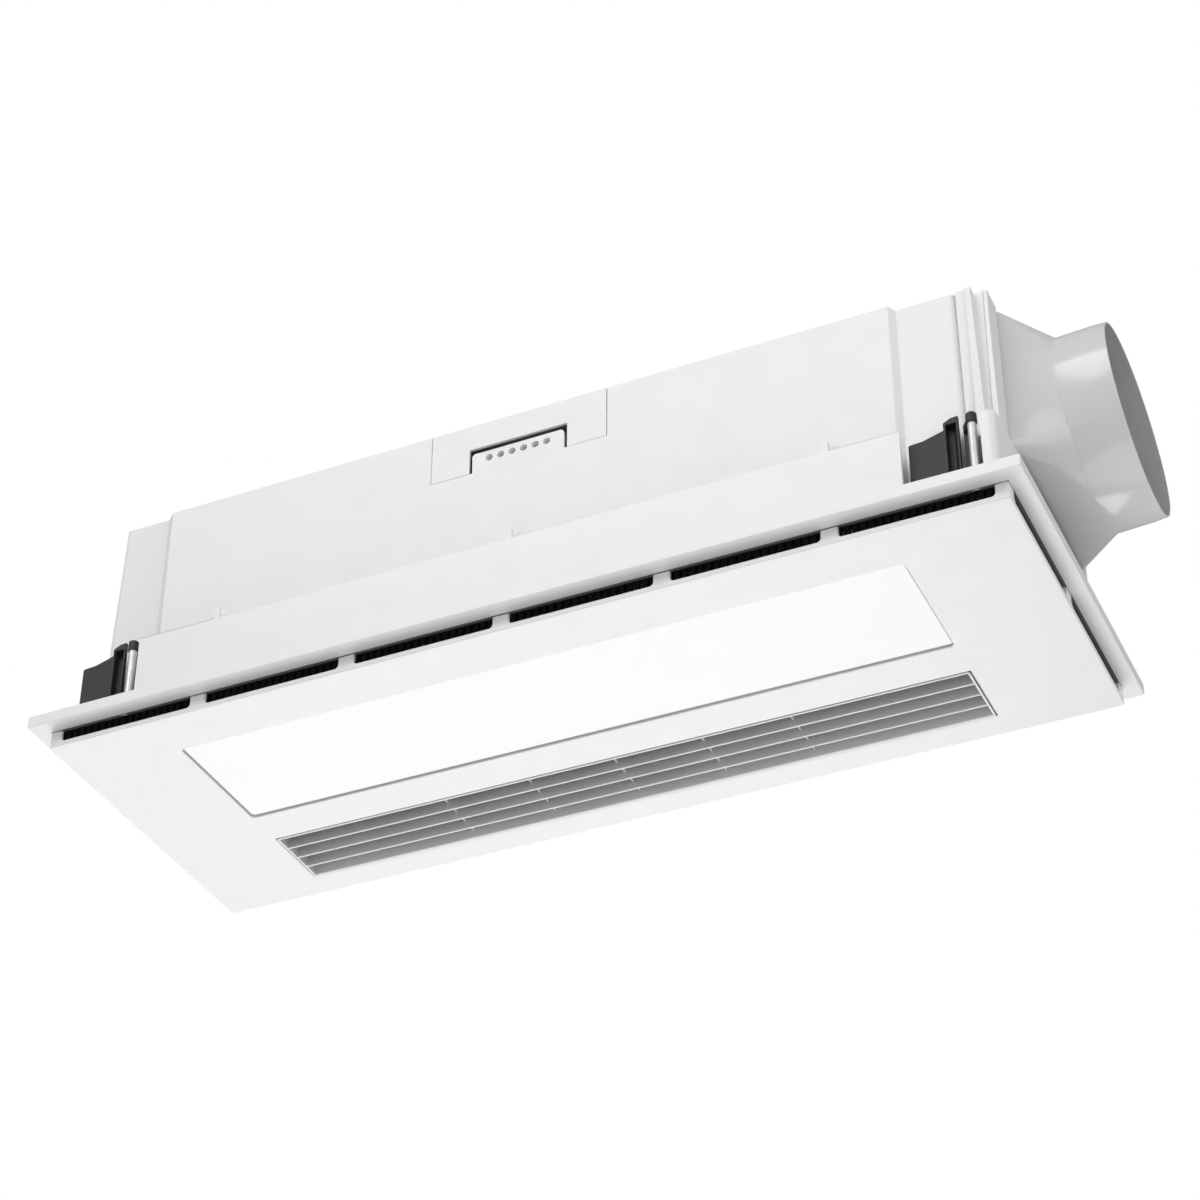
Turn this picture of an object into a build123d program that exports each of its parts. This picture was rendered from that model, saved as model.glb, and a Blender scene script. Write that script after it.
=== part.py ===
from build123d import *
import math
import os

# Ceiling heater, fan and light for a bathroom.
# The origin is the centre of the flange's top face, which seats on the ceiling.
# X runs along the unit towards the duct spigot, -Y is the front, +Z goes up into the ceiling.
# All sizes are in millimetres.

# Flange and collar of the mounting frame
flange_length = 650
flange_width = 250
flange_height = 8
flange_floor = 3
flange_rim = 3
collar_end_inset = 15
collar_side_inset = 12
collar_wall = 2.5
collar_top = 49.7
collar_edge_round = 2
collar_corner_round = 5
near_wall_left_gap = 53.7
near_wall_right_gap = 57.1
corner_piece_length = 9.2
corner_piece_top = 47.9
end_wall_stop = 25
frame_rib_pitch = 50
frame_rib = 2

# Hook lugs along the top of the collar walls
hook_places = (-201.9, 1.8, 205.7)
hook_length = 10.5
hook_height = 6.5
hook_post = 3.6
hook_round = 1.4

# Face panel
panel_end_reveal = 10.5
panel_side_reveal = 10.75
panel_drop = 19.6
panel_wall = 2.2
panel_gap = 0.3
panel_round = 2.5
slot_height = 7.75
slot_count = 6
slot_end_margin = 3.1
slot_bridge = 10.7
end_slot_bridge = 9.5
slot_round = 2.6
hook_tab_places = (-215, -85, 85, 215)
hook_tab_width = 12
hook_tab = 2
hook_tab_inset = 8.25
hook_barb = 1.2

# Windows in the face panel
window_end_margin = 74.75
light_window_margin = 35.75
light_window_rear = 11.2
grille_window_margin = 20.15
grille_window_width = 53.8
window_clearance = 0.3
diffuser_clearance = 0.8
window_lip = 3.5
window_corner_round = 3
diffuser_recess = 1.6
diffuser_lip = 1.5

# Outlet grille
grille_rim = 1.4
grille_clearance = 0.9
grille_height = 11.5
louvre_count = 3
louvre_thickness = 1.4
louvre_lean = 2.4
cross_rib_pitch = 60
cross_rib_count = 5
cross_rib = 1.2
cross_rib_recess = 6.2

# Intake guards
guard_thickness = 2.5
guard_pitch = 5
guard_bar = 3.2
guard_rail = 1

# Housing
housing_top = 158
housing_wall = 2
plate_left_margin = 39.1
plate_right_margin = 40.6
housing_side_gap = 15
recess_depth = 5.5
plate_left_slant = 6
plate_right_slant = 3
right_end_gap = 22.4
left_end_gap = 18.9
left_end_draft = 1.9
housing_round = 4
housing_lip = 3
housing_lip_height = 2
housing_tab_places = (-170, 0, 170)
housing_tab_width = 14
housing_tab = 3

# Wiring cover and terminals
wiring_x = 0.8
cover_half_width = 60.5
cover_bottom = 120
cover_depth = 43
cover_seam = 0.5
cover_foot_seam = 0.1
cover_ledge = 4
notch_half_width = 33.8
notch_top = 138.9
tongue_half_width = 31.8
tongue_top = 134.8
tongue_round = 3
wire_hole_count = 6
wire_hole_pitch = 7.95
wire_hole_radius = 2.5
wire_hole_z = 129
terminal_depth = 17
terminal_bottom = 117
terminal_height = 17
terminal_screw_radius = 1.8

# Rails that carry the duct adapter
rail_bottom = 44
rail_plate = 6.3
rail_plate_side = 9.5
rail_rib = 3.1
rail_rib_side = 11.1
rail_slot = 5
rail_web = 4
rail_outer = 4
rail_outer_side = 4.6
rail_rib_top_lean = 0.6
rail_rib_bottom_lean = 3
rail_outer_top_lean = 1.5
rail_screw_inset = 10
rail_throat_inset = 14
rail_seat_gap = 0.3

# Air outlet through the end wall
outlet_front = -50
outlet_rear = 30
outlet_bottom = 68
outlet_top = 127

# Duct adapter and spigot
adapter_clearance = 0.3
adapter_half_width = 70
adapter_bottom = 50
adapter_wall = 2
adapter_round = 6
adapter_straight = 4.3
adapter_reach = 29.5
spigot_radius = 62.2
spigot_wall = 1.8
spigot_length = 32.4
spigot_height = 100.9
spigot_rise = 3.75
spigot_lead = 8.5
spigot_lead_narrowing = 0.6

# Backdraft flap
flap_overlap = 3.5
flap_thickness = 1.2
flap_seat = 1.8
flap_seat_width = 2
flap_gap = 0.3
flap_pin_radius = 1.5
flap_pin_rise = 4
flap_knuckle = 3
flap_ear = 3
flap_side_gap = 2
running_gap = 0.05

# Swing clamps
left_screw_inset = 47
right_screw_inset = 14.9
screw_line_inset = 4
screw_radius = 2.7
screw_head_radius = 4.2
screw_head_height = 3
screw_boss_radius = 7
screw_boss_height = 4
screw_tip_cover = 47.3
nut_flange_radius = 5.2
nut_flange = 1
nut_radius = 3.9
nut_bottom = 0.8
nut_height = 8
arm_ring_radius = 5.4
arm_ring_gap = 0.2
arm_ring_height = 6
arm_foot = 9
arm_foot_height = 2
arm_reach = 40
arm_hub_start = 18.4
arm_hub_end = 9.3
arm_front = 4.7
arm_thickness = 2.4
arm_hub_depth = 6.3
arm_hub_wall = 1.4
arm_tip_top = 43.1
arm_bend_top = 43.7
arm_bend = 31
arm_root_top = 47.5
arm_hub_top_outer = 52.3
arm_hub_top_inner = 55.6
bracket_post_front = 8
bracket_post_depth = 3
bracket_post_outer = 7.5
bracket_post_inner = 3
bracket_cap_radius = 3.3
bracket_cap_bottom = 42.8
bracket_cap_top = 50

# Exhaust fan
fan_end_gap = 109.6
fan_y = 10
scroll_bottom = 60
scroll_wall = 2
scroll_start_radius = 60
scroll_end_radius = 86
scroll_start_angle = -40
scroll_end_angle = 270
scroll_inlet_radius = 46
scroll_end_gap = 0.3
impeller_radius = 56
impeller_blade_depth = 9
impeller_gap = 4
impeller_top_gap = 6
impeller_plate = 2
impeller_blades = 26
impeller_blade = 1.2
impeller_blade_angle = 35
impeller_hub_radius = 10
impeller_hub_height = 11
shaft_radius = 4
fit_gap = 0.02
impeller_nut_across = 13
impeller_nut_height = 5
lid_margin = 6
lid_hole_radius = 16
fan_post_radius = 4
fan_post_circle = 50
fan_motor_radius = 36
fan_motor_height = 21
fan_motor_wall = 1.6
fan_motor_gap = 3
fan_boss_radius = 11
fan_boss_height = 6
bearing_radius = 8
bearing_height = 5
fan_stator_radius = 22
fan_rotor_radius = 20
fan_core_height = 8

# Heater blower
blower_rear_gap = 40
blower_z = 80
wheel_radius = 28
wheel_left_gap = 101.1
wheel_fan_gap = 148
wheel_blade_depth = 6.5
wheel_blade = 0.9
wheel_blades = 24
wheel_disc = 1.5
wheel_discs = 4
casing_gap = 4
casing_sheet = 1.2
casing_radius = 32
casing_widening = 3
casing_front = 22
casing_end_front = 34
casing_strap_width = 30
casing_strap_foot = 14
stub_radius = 3
stub_length = 10
bush_radius = 7
bush_length = 5.5
heater_motor_radius = 25
heater_motor_length = 44
heater_motor_wall = 1.5
heater_motor_boss = 7
heater_stator_radius = 16
heater_rotor_radius = 14.5
heater_core_length = 20
heater_hub_radius = 8
heater_hub_length = 12

# Heater element, its frame and the plenum over the grille
heater_overhang = 10
heater_wall = 3
heater_rear_gap = 5
heater_width = 52
heater_height = 24
element_bars = 3
element_bar = 3
element_height = 16
element_gap = 4
fin_pitch = 8
fin_slot = 6
fin_skin = 0.8
plenum_sheet = 1.2
plenum_top = 10
plenum_clearance = 0.6
cutout_radius = 8
cutout_height = 6
cutout_gap = 30
fuse_radius = 2
fuse_length = 14
fuse_gap = 14

# Light engine
tray_sheet = 1.2
tray_top = 6
tray_margin = 0.6
tray_tab = 8
tray_tab_width = 14
tray_tab_inset = 39.75
boss_height = 4
small_screw_radius = 1.5
small_screw_head = 3
small_screw_head_height = 1.8
small_screw_length = 5
board_end_margin = 9.75
board_width = 12
board_thickness = 1.6
board_rows = 3
board_row_pitch = 31
chips_per_row = 12
chip_size = 3
chip_height = 0.8
driver_left_gap = 91.1
driver_front_gap = 28
driver_length = 130
driver_width = 42
driver_height = 24

# Control board
board_cover_gap = 5.8
board_front_gap = 14
control_length = 110
control_width = 60
spacer_radius = 3
spacer_length = 8
spacer_inset = 5
relay_length = 19
relay_width = 15
relay_height = 15
relay_count = 3
capacitor_length = 38
capacitor_width = 18
capacitor_height = 28

# Sizes and places that follow from the ones above
collar_half_length = flange_length / 2 - collar_end_inset
collar_half_width = flange_width / 2 - collar_side_inset
near_wall_start = near_wall_left_gap - collar_half_length
near_wall_end = collar_half_length - near_wall_right_gap
corner_piece_start = collar_half_length - corner_piece_length
end_wall_end = collar_half_width - end_wall_stop
front_left_screw_x = left_screw_inset - collar_half_length
front_right_screw_x = collar_half_length - right_screw_inset
screw_line = collar_half_width - screw_line_inset
panel_length = flange_length - 2 * panel_end_reveal
panel_width = flange_width - 2 * panel_side_reveal
slot_pitch = (panel_length - 2 * slot_end_margin) / slot_count
end_slot_pitch = (panel_width - end_slot_bridge) / 2
hook_tab_y = panel_width / 2 - hook_tab_inset
window_length = panel_length - 2 * window_end_margin
light_window_front = light_window_margin - panel_width / 2
grille_window_rear = panel_width / 2 - grille_window_margin
grille_window_front = grille_window_rear - grille_window_width
plate_half_width = collar_half_width - housing_side_gap
recess_half_width = plate_half_width - recess_depth
right_end = collar_half_length - right_end_gap
left_end = collar_half_length - left_end_gap
plate_left = left_end - plate_left_margin
plate_right = right_end - plate_right_margin
rail_throat = plate_half_width - rail_throat_inset
fan_x = right_end - fan_end_gap
blower_y = plate_half_width - blower_rear_gap
wheel_left = wheel_left_gap - left_end
wheel_right = fan_x - wheel_fan_gap
heater_left = wheel_left - heater_overhang
heater_right = wheel_right + heater_overhang
heater_rear = plate_half_width - heater_rear_gap
heater_front = heater_rear - heater_width
cutout_x = heater_right + cutout_gap
fuse_x = heater_right + fuse_gap
board_length = window_length - 2 * board_end_margin
driver_x = driver_left_gap - left_end
driver_y = driver_front_gap - plate_half_width
board_x = wiring_x - cover_half_width - cover_seam - cover_ledge - board_cover_gap - control_length
board_y = board_front_gap - plate_half_width
flange_bottom = -flange_height
floor_top = flange_bottom + flange_floor
panel_top = flange_bottom - panel_gap
panel_bottom = -panel_drop
panel_inside = panel_bottom + panel_wall
housing_bottom = floor_top
housing_inside = housing_top - housing_wall
rail_start = right_end + rail_seat_gap
rib_start = rail_start + rail_plate
rib_end = rib_start + rail_rib
outer_start = rib_end + rail_slot
outer_end = outer_start + rail_outer
fan_motor_top = housing_inside - fan_motor_gap
fan_motor_bottom = fan_motor_top - fan_motor_height
scroll_top = fan_motor_bottom - scroll_wall
impeller_bottom = scroll_bottom + scroll_wall + impeller_gap
impeller_top = scroll_top - impeller_top_gap
heater_bottom = plenum_top
heater_top = heater_bottom + heater_height
light_middle = (light_window_front + light_window_rear) / 2


def block(x_range, y_range, z_range):
    """Rectangular block between two values on each axis."""
    middles = [(low + high) / 2 for low, high in (x_range, y_range, z_range)]
    lengths = [high - low for low, high in (x_range, y_range, z_range)]
    return Pos(*middles) * Box(*lengths)


def rod(radius, start, end):
    """Round rod between two points."""
    axis = Vector(*end) - Vector(*start)
    return extrude(Plane(origin=start, z_dir=axis) * Circle(radius), axis.length)


def ring(outer, inner, start, end):
    """Round tube between two points."""
    return rod(outer, start, end) - rod(inner, start, end)


def prism(points, direction, length):
    """Straight prism with a flat outline given as points in space."""
    outline = Face(Wire.make_polygon(points))
    return Solid.extrude(outline, Vector(*direction) * length)


def both_ends(shape):
    """The shape and its copy turned half round about the vertical axis."""
    return [shape, Rot(0, 0, 180) * shape]


def span(first, last, count):
    """Evenly spaced values from first to last."""
    step = (last - first) / (count - 1)
    return [first + step * i for i in range(count)]


def slotted_face(length, height, hole_length, hole_height, pitch, count):
    """Flat rectangle centred on the origin with a row of rectangular holes along it."""
    def outline(x, wide, high):
        corners = ((-1, -1), (1, -1), (1, 1), (-1, 1))
        return Wire.make_polygon([(x + wide / 2 * i, high / 2 * j, 0) for i, j in corners])
    reach = pitch * (count - 1) / 2
    holes = [outline(x, hole_length, hole_height) for x in span(-reach, reach, count)]
    return Face(outline(0, length, height), holes)


def solids_of(shapes):
    """Every solid in a list of shapes."""
    return [solid for shape in shapes for solid in shape.solids()]


def joined(shapes):
    """One body made of shapes that touch or overlap."""
    body = shapes[0]
    return body.fuse(*shapes[1:]) if len(shapes) > 1 else body


def small_screw(length, seat, direction):
    """Screw with its head's underside at seat and its shank running against direction."""
    seat = Vector(*seat)
    away = Vector(*direction)
    head = rod(small_screw_head, seat, seat + away * small_screw_head_height)
    return head + rod(small_screw_radius - fit_gap, seat, seat - away * length)


def write(node, shapes):
    """Write one node's solids to its own file."""
    os.makedirs("parts", exist_ok=True)
    pieces = solids_of(shapes if isinstance(shapes, list) else [shapes])
    export_step(pieces[0] if len(pieces) == 1 else Compound(children=pieces), f"parts/{node}.step")


# Housing outline, which the frame's opening follows

def left_end_at(z):
    """Place of the drafted left end at a height."""
    return -left_end - (housing_top - z) * math.tan(math.radians(left_end_draft))


def housing_outline(z, inset):
    """Plan outline of the housing at a height, drawn in by inset."""
    left_plate = inset - plate_left
    right_plate = plate_right - inset
    wide = plate_half_width - inset
    narrow = recess_half_width - inset
    left = left_end_at(z) + inset
    right = right_end - inset
    front = [(left, -narrow), (left_plate - plate_left_slant, -narrow), (left_plate, -wide)]
    front += [(right_plate, -wide), (right_plate + plate_right_slant, -narrow), (right, -narrow)]
    rear = [(x, -y) for x, y in reversed(front)]
    return Face(Wire.make_polygon([(x, y, z) for x, y in front + rear]))


def housing_body(bottom, top, inset):
    """Solid housing shape between two heights."""
    return loft([housing_outline(bottom, inset), housing_outline(top, inset)], ruled=True)


# Mounting frame

def clamp_screws():
    """Places of the four clamp screws: name, centre and turn of the clamp."""
    return [
        ("front_left", front_left_screw_x, -screw_line, 0),
        ("front_right", front_right_screw_x, -screw_line, 0),
        ("rear_right", -front_left_screw_x, screw_line, 180),
        ("rear_left", -front_right_screw_x, screw_line, 180),
    ]


def hook_lug(x):
    """Small hook on the collar's top edge: a post with a lower web set back behind its face."""
    post_y = (-collar_half_width, -collar_half_width + collar_wall)
    web_y = -collar_half_width + collar_wall / 2
    root = collar_top - collar_edge_round
    post = block((x, x + hook_post), post_y, (root, collar_top + hook_height))
    post = fillet(post.edges().filter_by(Axis.Y).group_by(Axis.Z)[-1], hook_round)
    web_points = [
        (x + hook_post, web_y, root),
        (x + hook_post, web_y, collar_top + hook_height - hook_round),
        (x + hook_length / 2, web_y, collar_top + hook_height - hook_round),
        (x + hook_length, web_y, collar_top),
        (x + hook_length, web_y, root),
    ]
    return post + prism(web_points, (0, 1, 0), collar_wall / 2)


def collar_half():
    """Front wall with its hooks, and the right-hand corner with the end wall."""
    wall_y = (-collar_half_width, -collar_half_width + collar_wall)
    wall = block((near_wall_start, near_wall_end), wall_y, (floor_top, collar_top))
    outer_edge = wall.edges().filter_by(Axis.X).group_by(Axis.Z)[-1].sort_by(Axis.Y)[0]
    wall = fillet(outer_edge, collar_edge_round)
    for x in hook_places:
        wall = wall + hook_lug(x)
    inner_x = collar_half_length - collar_wall
    inner_y = -collar_half_width + collar_wall
    corner_points = [
        (corner_piece_start, -collar_half_width, floor_top),
        (collar_half_length, -collar_half_width, floor_top),
        (collar_half_length, end_wall_end, floor_top),
        (inner_x, end_wall_end, floor_top),
        (inner_x, inner_y, floor_top),
        (corner_piece_start, inner_y, floor_top),
    ]
    corner = prism(corner_points, (0, 0, 1), corner_piece_top - floor_top)
    upright = corner.edges().filter_by(Axis.Z).sort_by(lambda e: e.center().Y - e.center().X)[0]
    corner = fillet(upright, collar_corner_round)
    top = corner.edges().group_by(Axis.Z)[-1]
    outer = [e for e in top if e.center().X > inner_x + collar_wall / 2]
    outer += [e for e in top if e.center().Y < inner_y - collar_wall / 2 and e not in outer]
    return [wall, fillet(outer, collar_edge_round)]


def mounting_frame():
    half_length = flange_length / 2
    half_width = flange_width / 2
    whole = (flange_bottom, 0)
    body = block((-half_length, half_length), (-half_width, half_width), whole)
    body -= block(
        (flange_rim - half_length, half_length - flange_rim),
        (flange_rim - half_width, half_width - flange_rim),
        (floor_top, 1),
    )
    opening = housing_body(flange_bottom - 1, floor_top + 1, housing_wall)
    body -= opening
    extras = []
    for part in collar_half():
        extras += both_ends(part)
    rib_y = (-half_width + flange_rim, -collar_half_width)
    for x in range(-5 * frame_rib_pitch, 6 * frame_rib_pitch, frame_rib_pitch):
        rib = block((x, x + frame_rib), rib_y, (floor_top, floor_top + screw_boss_height))
        if near_wall_start < x < near_wall_end - frame_rib:
            extras += both_ends(rib)
    boss_top = floor_top + screw_boss_height
    for _, x, y, _ in clamp_screws():
        extras.append(rod(screw_boss_radius, (x, y, floor_top), (x, y, boss_top)))
    body = joined([body] + extras)
    hole = screw_radius + window_clearance
    sink = flange_bottom + screw_head_height + window_clearance
    cuts = []
    for _, x, y, _ in clamp_screws():
        cuts.append(rod(hole, (x, y, flange_bottom - 1), (x, y, 1)))
        head = screw_head_radius + window_clearance
        cuts.append(rod(head, (x, y, flange_bottom - 1), (x, y, sink)))
    tab_half = hook_tab_width / 2 + window_clearance
    tab_front = -hook_tab_y - hook_tab / 2 - window_clearance
    tab_y = (tab_front, tab_front + hook_tab + hook_barb + 2 * window_clearance)
    for x in hook_tab_places:
        cuts += both_ends(block((x - tab_half, x + tab_half), tab_y, (flange_bottom - 1, floor_top + 1)))
    for x in housing_tab_places:
        pilot_y = -plate_half_width - housing_lip - screw_head_radius / 2
        cuts += both_ends(rod(small_screw_radius, (x, pilot_y, flange_bottom + 0.5), (x, pilot_y, 0)))
    return body.cut(*cuts)


# Face panel

def slot_cut(length):
    """Air slot centred on the origin, open at the top, with rounded lower corners."""
    reach = 2 * panel_wall
    low = panel_top - slot_height
    cut = block((-length / 2, length / 2), (-reach, reach), (low, panel_top + 1))
    lower = cut.edges().filter_by(Axis.Y).group_by(Axis.Z)[0]
    return fillet(lower, slot_round)


def slot_places():
    """Every air slot: its middle, its turn and its length."""
    long_y = panel_width / 2 - panel_wall / 2
    end_x = panel_length / 2 - panel_wall / 2
    long_length = slot_pitch - slot_bridge
    end_length = end_slot_pitch - end_slot_bridge
    places = []
    for side in (-1, 1):
        for i in range(slot_count):
            middle = (i - (slot_count - 1) / 2) * slot_pitch
            places.append((middle, side * long_y, 0, long_length))
        for i in range(2):
            places.append((side * end_x, (i - 0.5) * end_slot_pitch, 90, end_length))
    return places


def hook_tab_shape(x):
    """Snap tab that passes through the frame's floor and hooks over it."""
    y = -hook_tab_y
    half = hook_tab_width / 2
    tip = floor_top + window_clearance
    tab_y = (y - hook_tab / 2, y + hook_tab / 2)
    tab = block((x - half, x + half), tab_y, (panel_inside, tip + hook_tab))
    root = y + hook_tab / 2
    barb = [(x - half, root, tip), (x - half, root + hook_barb, tip), (x - half, root, tip + hook_tab)]
    return tab + prism(barb, (1, 0, 0), hook_tab_width)


def window_cut(front, rear):
    """Window through the panel's face."""
    half = window_length / 2
    return block((-half, half), (front, rear), (panel_bottom - 1, panel_inside + 1))


def light_window_cut():
    """Window for the light, with rounded corners."""
    cut = window_cut(light_window_front, light_window_rear)
    return fillet(cut.edges().filter_by(Axis.Z), window_corner_round)


def face_panel():
    half_length = panel_length / 2
    half_width = panel_width / 2
    heights = (panel_bottom, panel_top)
    outer = block((-half_length, half_length), (-half_width, half_width), heights)
    outer = fillet(outer.edges().filter_by(Axis.Z), panel_round)
    inner = block(
        (panel_wall - half_length, half_length - panel_wall),
        (panel_wall - half_width, half_width - panel_wall),
        (panel_inside, panel_top + 1),
    )
    body = outer - inner
    extras = []
    for x in hook_tab_places:
        extras += both_ends(hook_tab_shape(x))
    boss_top = panel_inside + boss_height
    for x, y in tray_screw_places():
        extras.append(rod(small_screw_head, (x, y, panel_inside), (x, y, boss_top)))
    body = joined([body] + extras)
    cuts = [light_window_cut()]
    cuts.append(window_cut(grille_window_front, grille_window_rear))
    for x, y, turn, length in slot_places():
        cuts.append(Pos(x, y, 0) * Rot(0, 0, turn) * slot_cut(length))
    for x, y in tray_screw_places():
        cuts.append(rod(small_screw_radius, (x, y, panel_inside), (x, y, boss_top + 1)))
    return body.cut(*cuts)


def guard_strip(length):
    """Flat strip with upright bars, centred on the origin."""
    low = panel_inside
    height = panel_top - low
    count = int((length - 2 * guard_rail) // guard_pitch)
    gap = guard_pitch - guard_bar
    face = slotted_face(length, height, gap, height - 2 * guard_rail, guard_pitch, count)
    strip = Solid.extrude(face, Vector(0, 0, guard_thickness))
    return Pos(0, guard_thickness / 2, low + height / 2) * Rot(90, 0, 0) * strip


def intake_guards():
    inset = panel_wall + guard_thickness / 2
    long_y = panel_width / 2 - inset
    end_x = panel_length / 2 - inset
    long_length = 2 * (end_x - guard_thickness)
    end_length = 2 * (long_y - guard_thickness)
    shapes = []
    for turn in (0, 180):
        shapes.append(Rot(0, 0, turn) * Pos(0, -long_y, 0) * guard_strip(long_length))
        shapes.append(Rot(0, 0, turn + 90) * Pos(0, -end_x, 0) * guard_strip(end_length))
    return shapes


def light_diffuser():
    half = window_length / 2
    low = panel_bottom + diffuser_recess
    glow = block(
        (diffuser_clearance - half, half - diffuser_clearance),
        (light_window_front + diffuser_clearance, light_window_rear - diffuser_clearance),
        (low, panel_inside),
    )
    glow = fillet(glow.edges().filter_by(Axis.Z), window_corner_round)
    lip = block(
        (-half - window_lip, half + window_lip),
        (light_window_front - window_lip, light_window_rear + window_lip),
        (panel_inside, panel_inside + diffuser_lip),
    )
    return glow + lip


def outlet_grille():
    half = window_length / 2 - grille_clearance
    front = grille_window_front + grille_clearance
    rear = grille_window_rear - grille_clearance
    top = panel_bottom + grille_height
    outer = block((-half, half), (front, rear), (panel_bottom, top))
    hole = block(
        (grille_rim - half, half - grille_rim),
        (front + grille_rim, rear - grille_rim),
        (panel_bottom - 1, top + 1),
    )
    lip = block(
        (-half - window_lip, half + window_lip),
        (front - window_lip, rear + window_lip),
        (panel_inside, panel_inside + diffuser_lip),
    )
    body = (outer + lip) - hole
    extras = []
    pitch = (rear - front - grille_rim) / (louvre_count + 1)
    for i in range(louvre_count):
        y = front + grille_rim / 2 + pitch * (i + 1)
        low_front = (-half, y - louvre_thickness / 2, panel_bottom)
        low_rear = (-half, y + louvre_thickness / 2, panel_bottom)
        top_rear = (-half, y + louvre_thickness / 2 + louvre_lean, top)
        top_front = (-half, y - louvre_thickness / 2 + louvre_lean, top)
        extras.append(prism([low_front, low_rear, top_rear, top_front], (1, 0, 0), 2 * half))
    first = -cross_rib_pitch * (cross_rib_count - 1) / 2
    for i in range(cross_rib_count):
        x = first + cross_rib_pitch * i
        rib_z = (panel_bottom + cross_rib_recess, top)
        extras.append(block((x - cross_rib / 2, x + cross_rib / 2), (front, rear), rib_z))
    return joined([body] + extras)


# Housing

def housing_shell():
    outer = housing_body(housing_bottom, housing_top, 0)
    uprights = [e for e in outer.edges() if abs((e @ 1 - e @ 0).Z) > housing_top / 2]
    corners = [e for e in uprights if abs(e.center().X) > plate_left + 2 * plate_left_slant]
    outer = fillet(corners, housing_round)
    inner = housing_body(housing_bottom - 1, housing_inside, housing_wall)
    lip = housing_body(housing_bottom, housing_bottom + housing_lip_height, -housing_lip)
    tabs = []
    lip_y = -plate_half_width - housing_lip
    tab_end = lip_y - screw_head_radius
    tab_z = (housing_bottom, housing_bottom + housing_tab)
    for x in housing_tab_places:
        width = (x - housing_tab_width / 2, x + housing_tab_width / 2)
        tabs += both_ends(block(width, (tab_end, -plate_half_width), tab_z))
    body = joined([outer, lip] + tabs) - inner
    ledges = cover_ledges()
    body = joined([body] + ledges)
    cuts = [cover_space(), outlet_cut(right_end - 2 * housing_wall, right_end + 1)]
    body = body.cut(*cuts)
    body = joined([body, wire_tongue()])
    holes = []
    for x in housing_tab_places:
        y = lip_y - screw_head_radius / 2
        holes += both_ends(rod(small_screw_radius + 0.2, (x, y, housing_bottom - 1), (x, y, 0)))
    outside = -plate_half_width - 1
    for x in wire_hole_places():
        start = (x, outside, wire_hole_z)
        holes.append(rod(wire_hole_radius, start, (x, outside + housing_wall + 2, wire_hole_z)))
    for x, y in cover_screw_places():
        foot = (x, y, housing_inside - cover_ledge - 1)
        holes.append(rod(small_screw_radius, foot, (x, y, housing_top)))
    for y, z in rail_screw_places():
        start = (right_end - 2 * housing_wall, y, z)
        holes.append(rod(small_screw_radius, start, (right_end + 1, y, z)))
    return body.cut(*holes)


def outlet_cut(start, end):
    """Air outlet hole along X."""
    return block((start, end), (outlet_front, outlet_rear), (outlet_bottom, outlet_top))


def wire_hole_places():
    """X of each wire hole."""
    reach = wire_hole_pitch * (wire_hole_count - 1) / 2
    return span(wiring_x - reach, wiring_x + reach, wire_hole_count)


def wire_tongue():
    """Tongue of the front wall that stands up into the cover's notch."""
    y = (-plate_half_width, -plate_half_width + housing_wall)
    x = (wiring_x - tongue_half_width, wiring_x + tongue_half_width)
    tongue = block(x, y, (cover_bottom - cover_ledge, tongue_top))
    return fillet(tongue.edges().filter_by(Axis.Y).group_by(Axis.Z)[-1], tongue_round)


def cover_space():
    """Space in the housing's front and top walls that the cover fills."""
    half = cover_half_width + cover_seam
    x = (wiring_x - half, wiring_x + half)
    rear = -plate_half_width + cover_depth + cover_seam
    front = block(x, (-plate_half_width - 1, -plate_half_width + housing_wall),
                  (cover_bottom - cover_foot_seam, housing_top + 1))
    top = block(x, (-plate_half_width - 1, rear), (housing_inside, housing_top + 1))
    return front + top


def cover_ledges():
    """Ledges under the cover's edges, on the inner side of the front and top walls."""
    half = cover_half_width + cover_seam
    wall_y = -plate_half_width + housing_wall
    rear = -plate_half_width + cover_depth
    ledges = []
    for side in (-1, 1):
        edge = wiring_x + side * half
        x = (edge - cover_ledge, edge + cover_ledge)
        upright_z = (cover_bottom - cover_ledge, housing_inside)
        ledges.append(block(x, (wall_y, wall_y + housing_wall), upright_z))
        top_z = (housing_inside - cover_ledge, housing_inside)
        ledges.append(block(x, (wall_y, rear + cover_ledge), top_z))
    return ledges


def cover_screw_places():
    """The two screws in the cover's top."""
    y = -plate_half_width + cover_depth - cover_ledge
    reach = cover_half_width - small_screw_head / 2
    return [(wiring_x - reach, y), (wiring_x + reach, y)]


def wiring_cover():
    x = (wiring_x - cover_half_width, wiring_x + cover_half_width)
    front_y = (-plate_half_width, -plate_half_width + housing_wall)
    front = block(x, front_y, (cover_bottom, housing_top))
    top = block(x, (-plate_half_width, -plate_half_width + cover_depth), (housing_inside, housing_top))
    notch_x = (wiring_x - notch_half_width, wiring_x + notch_half_width)
    notch = block(notch_x, (-plate_half_width - 1, front_y[1] + 1), (cover_bottom - 1, notch_top))
    body = (front + top) - notch
    hole = small_screw_radius + 0.2
    for x, y in cover_screw_places():
        body -= rod(hole, (x, y, housing_inside - 1), (x, y, housing_top + 1))
    return body


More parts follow.
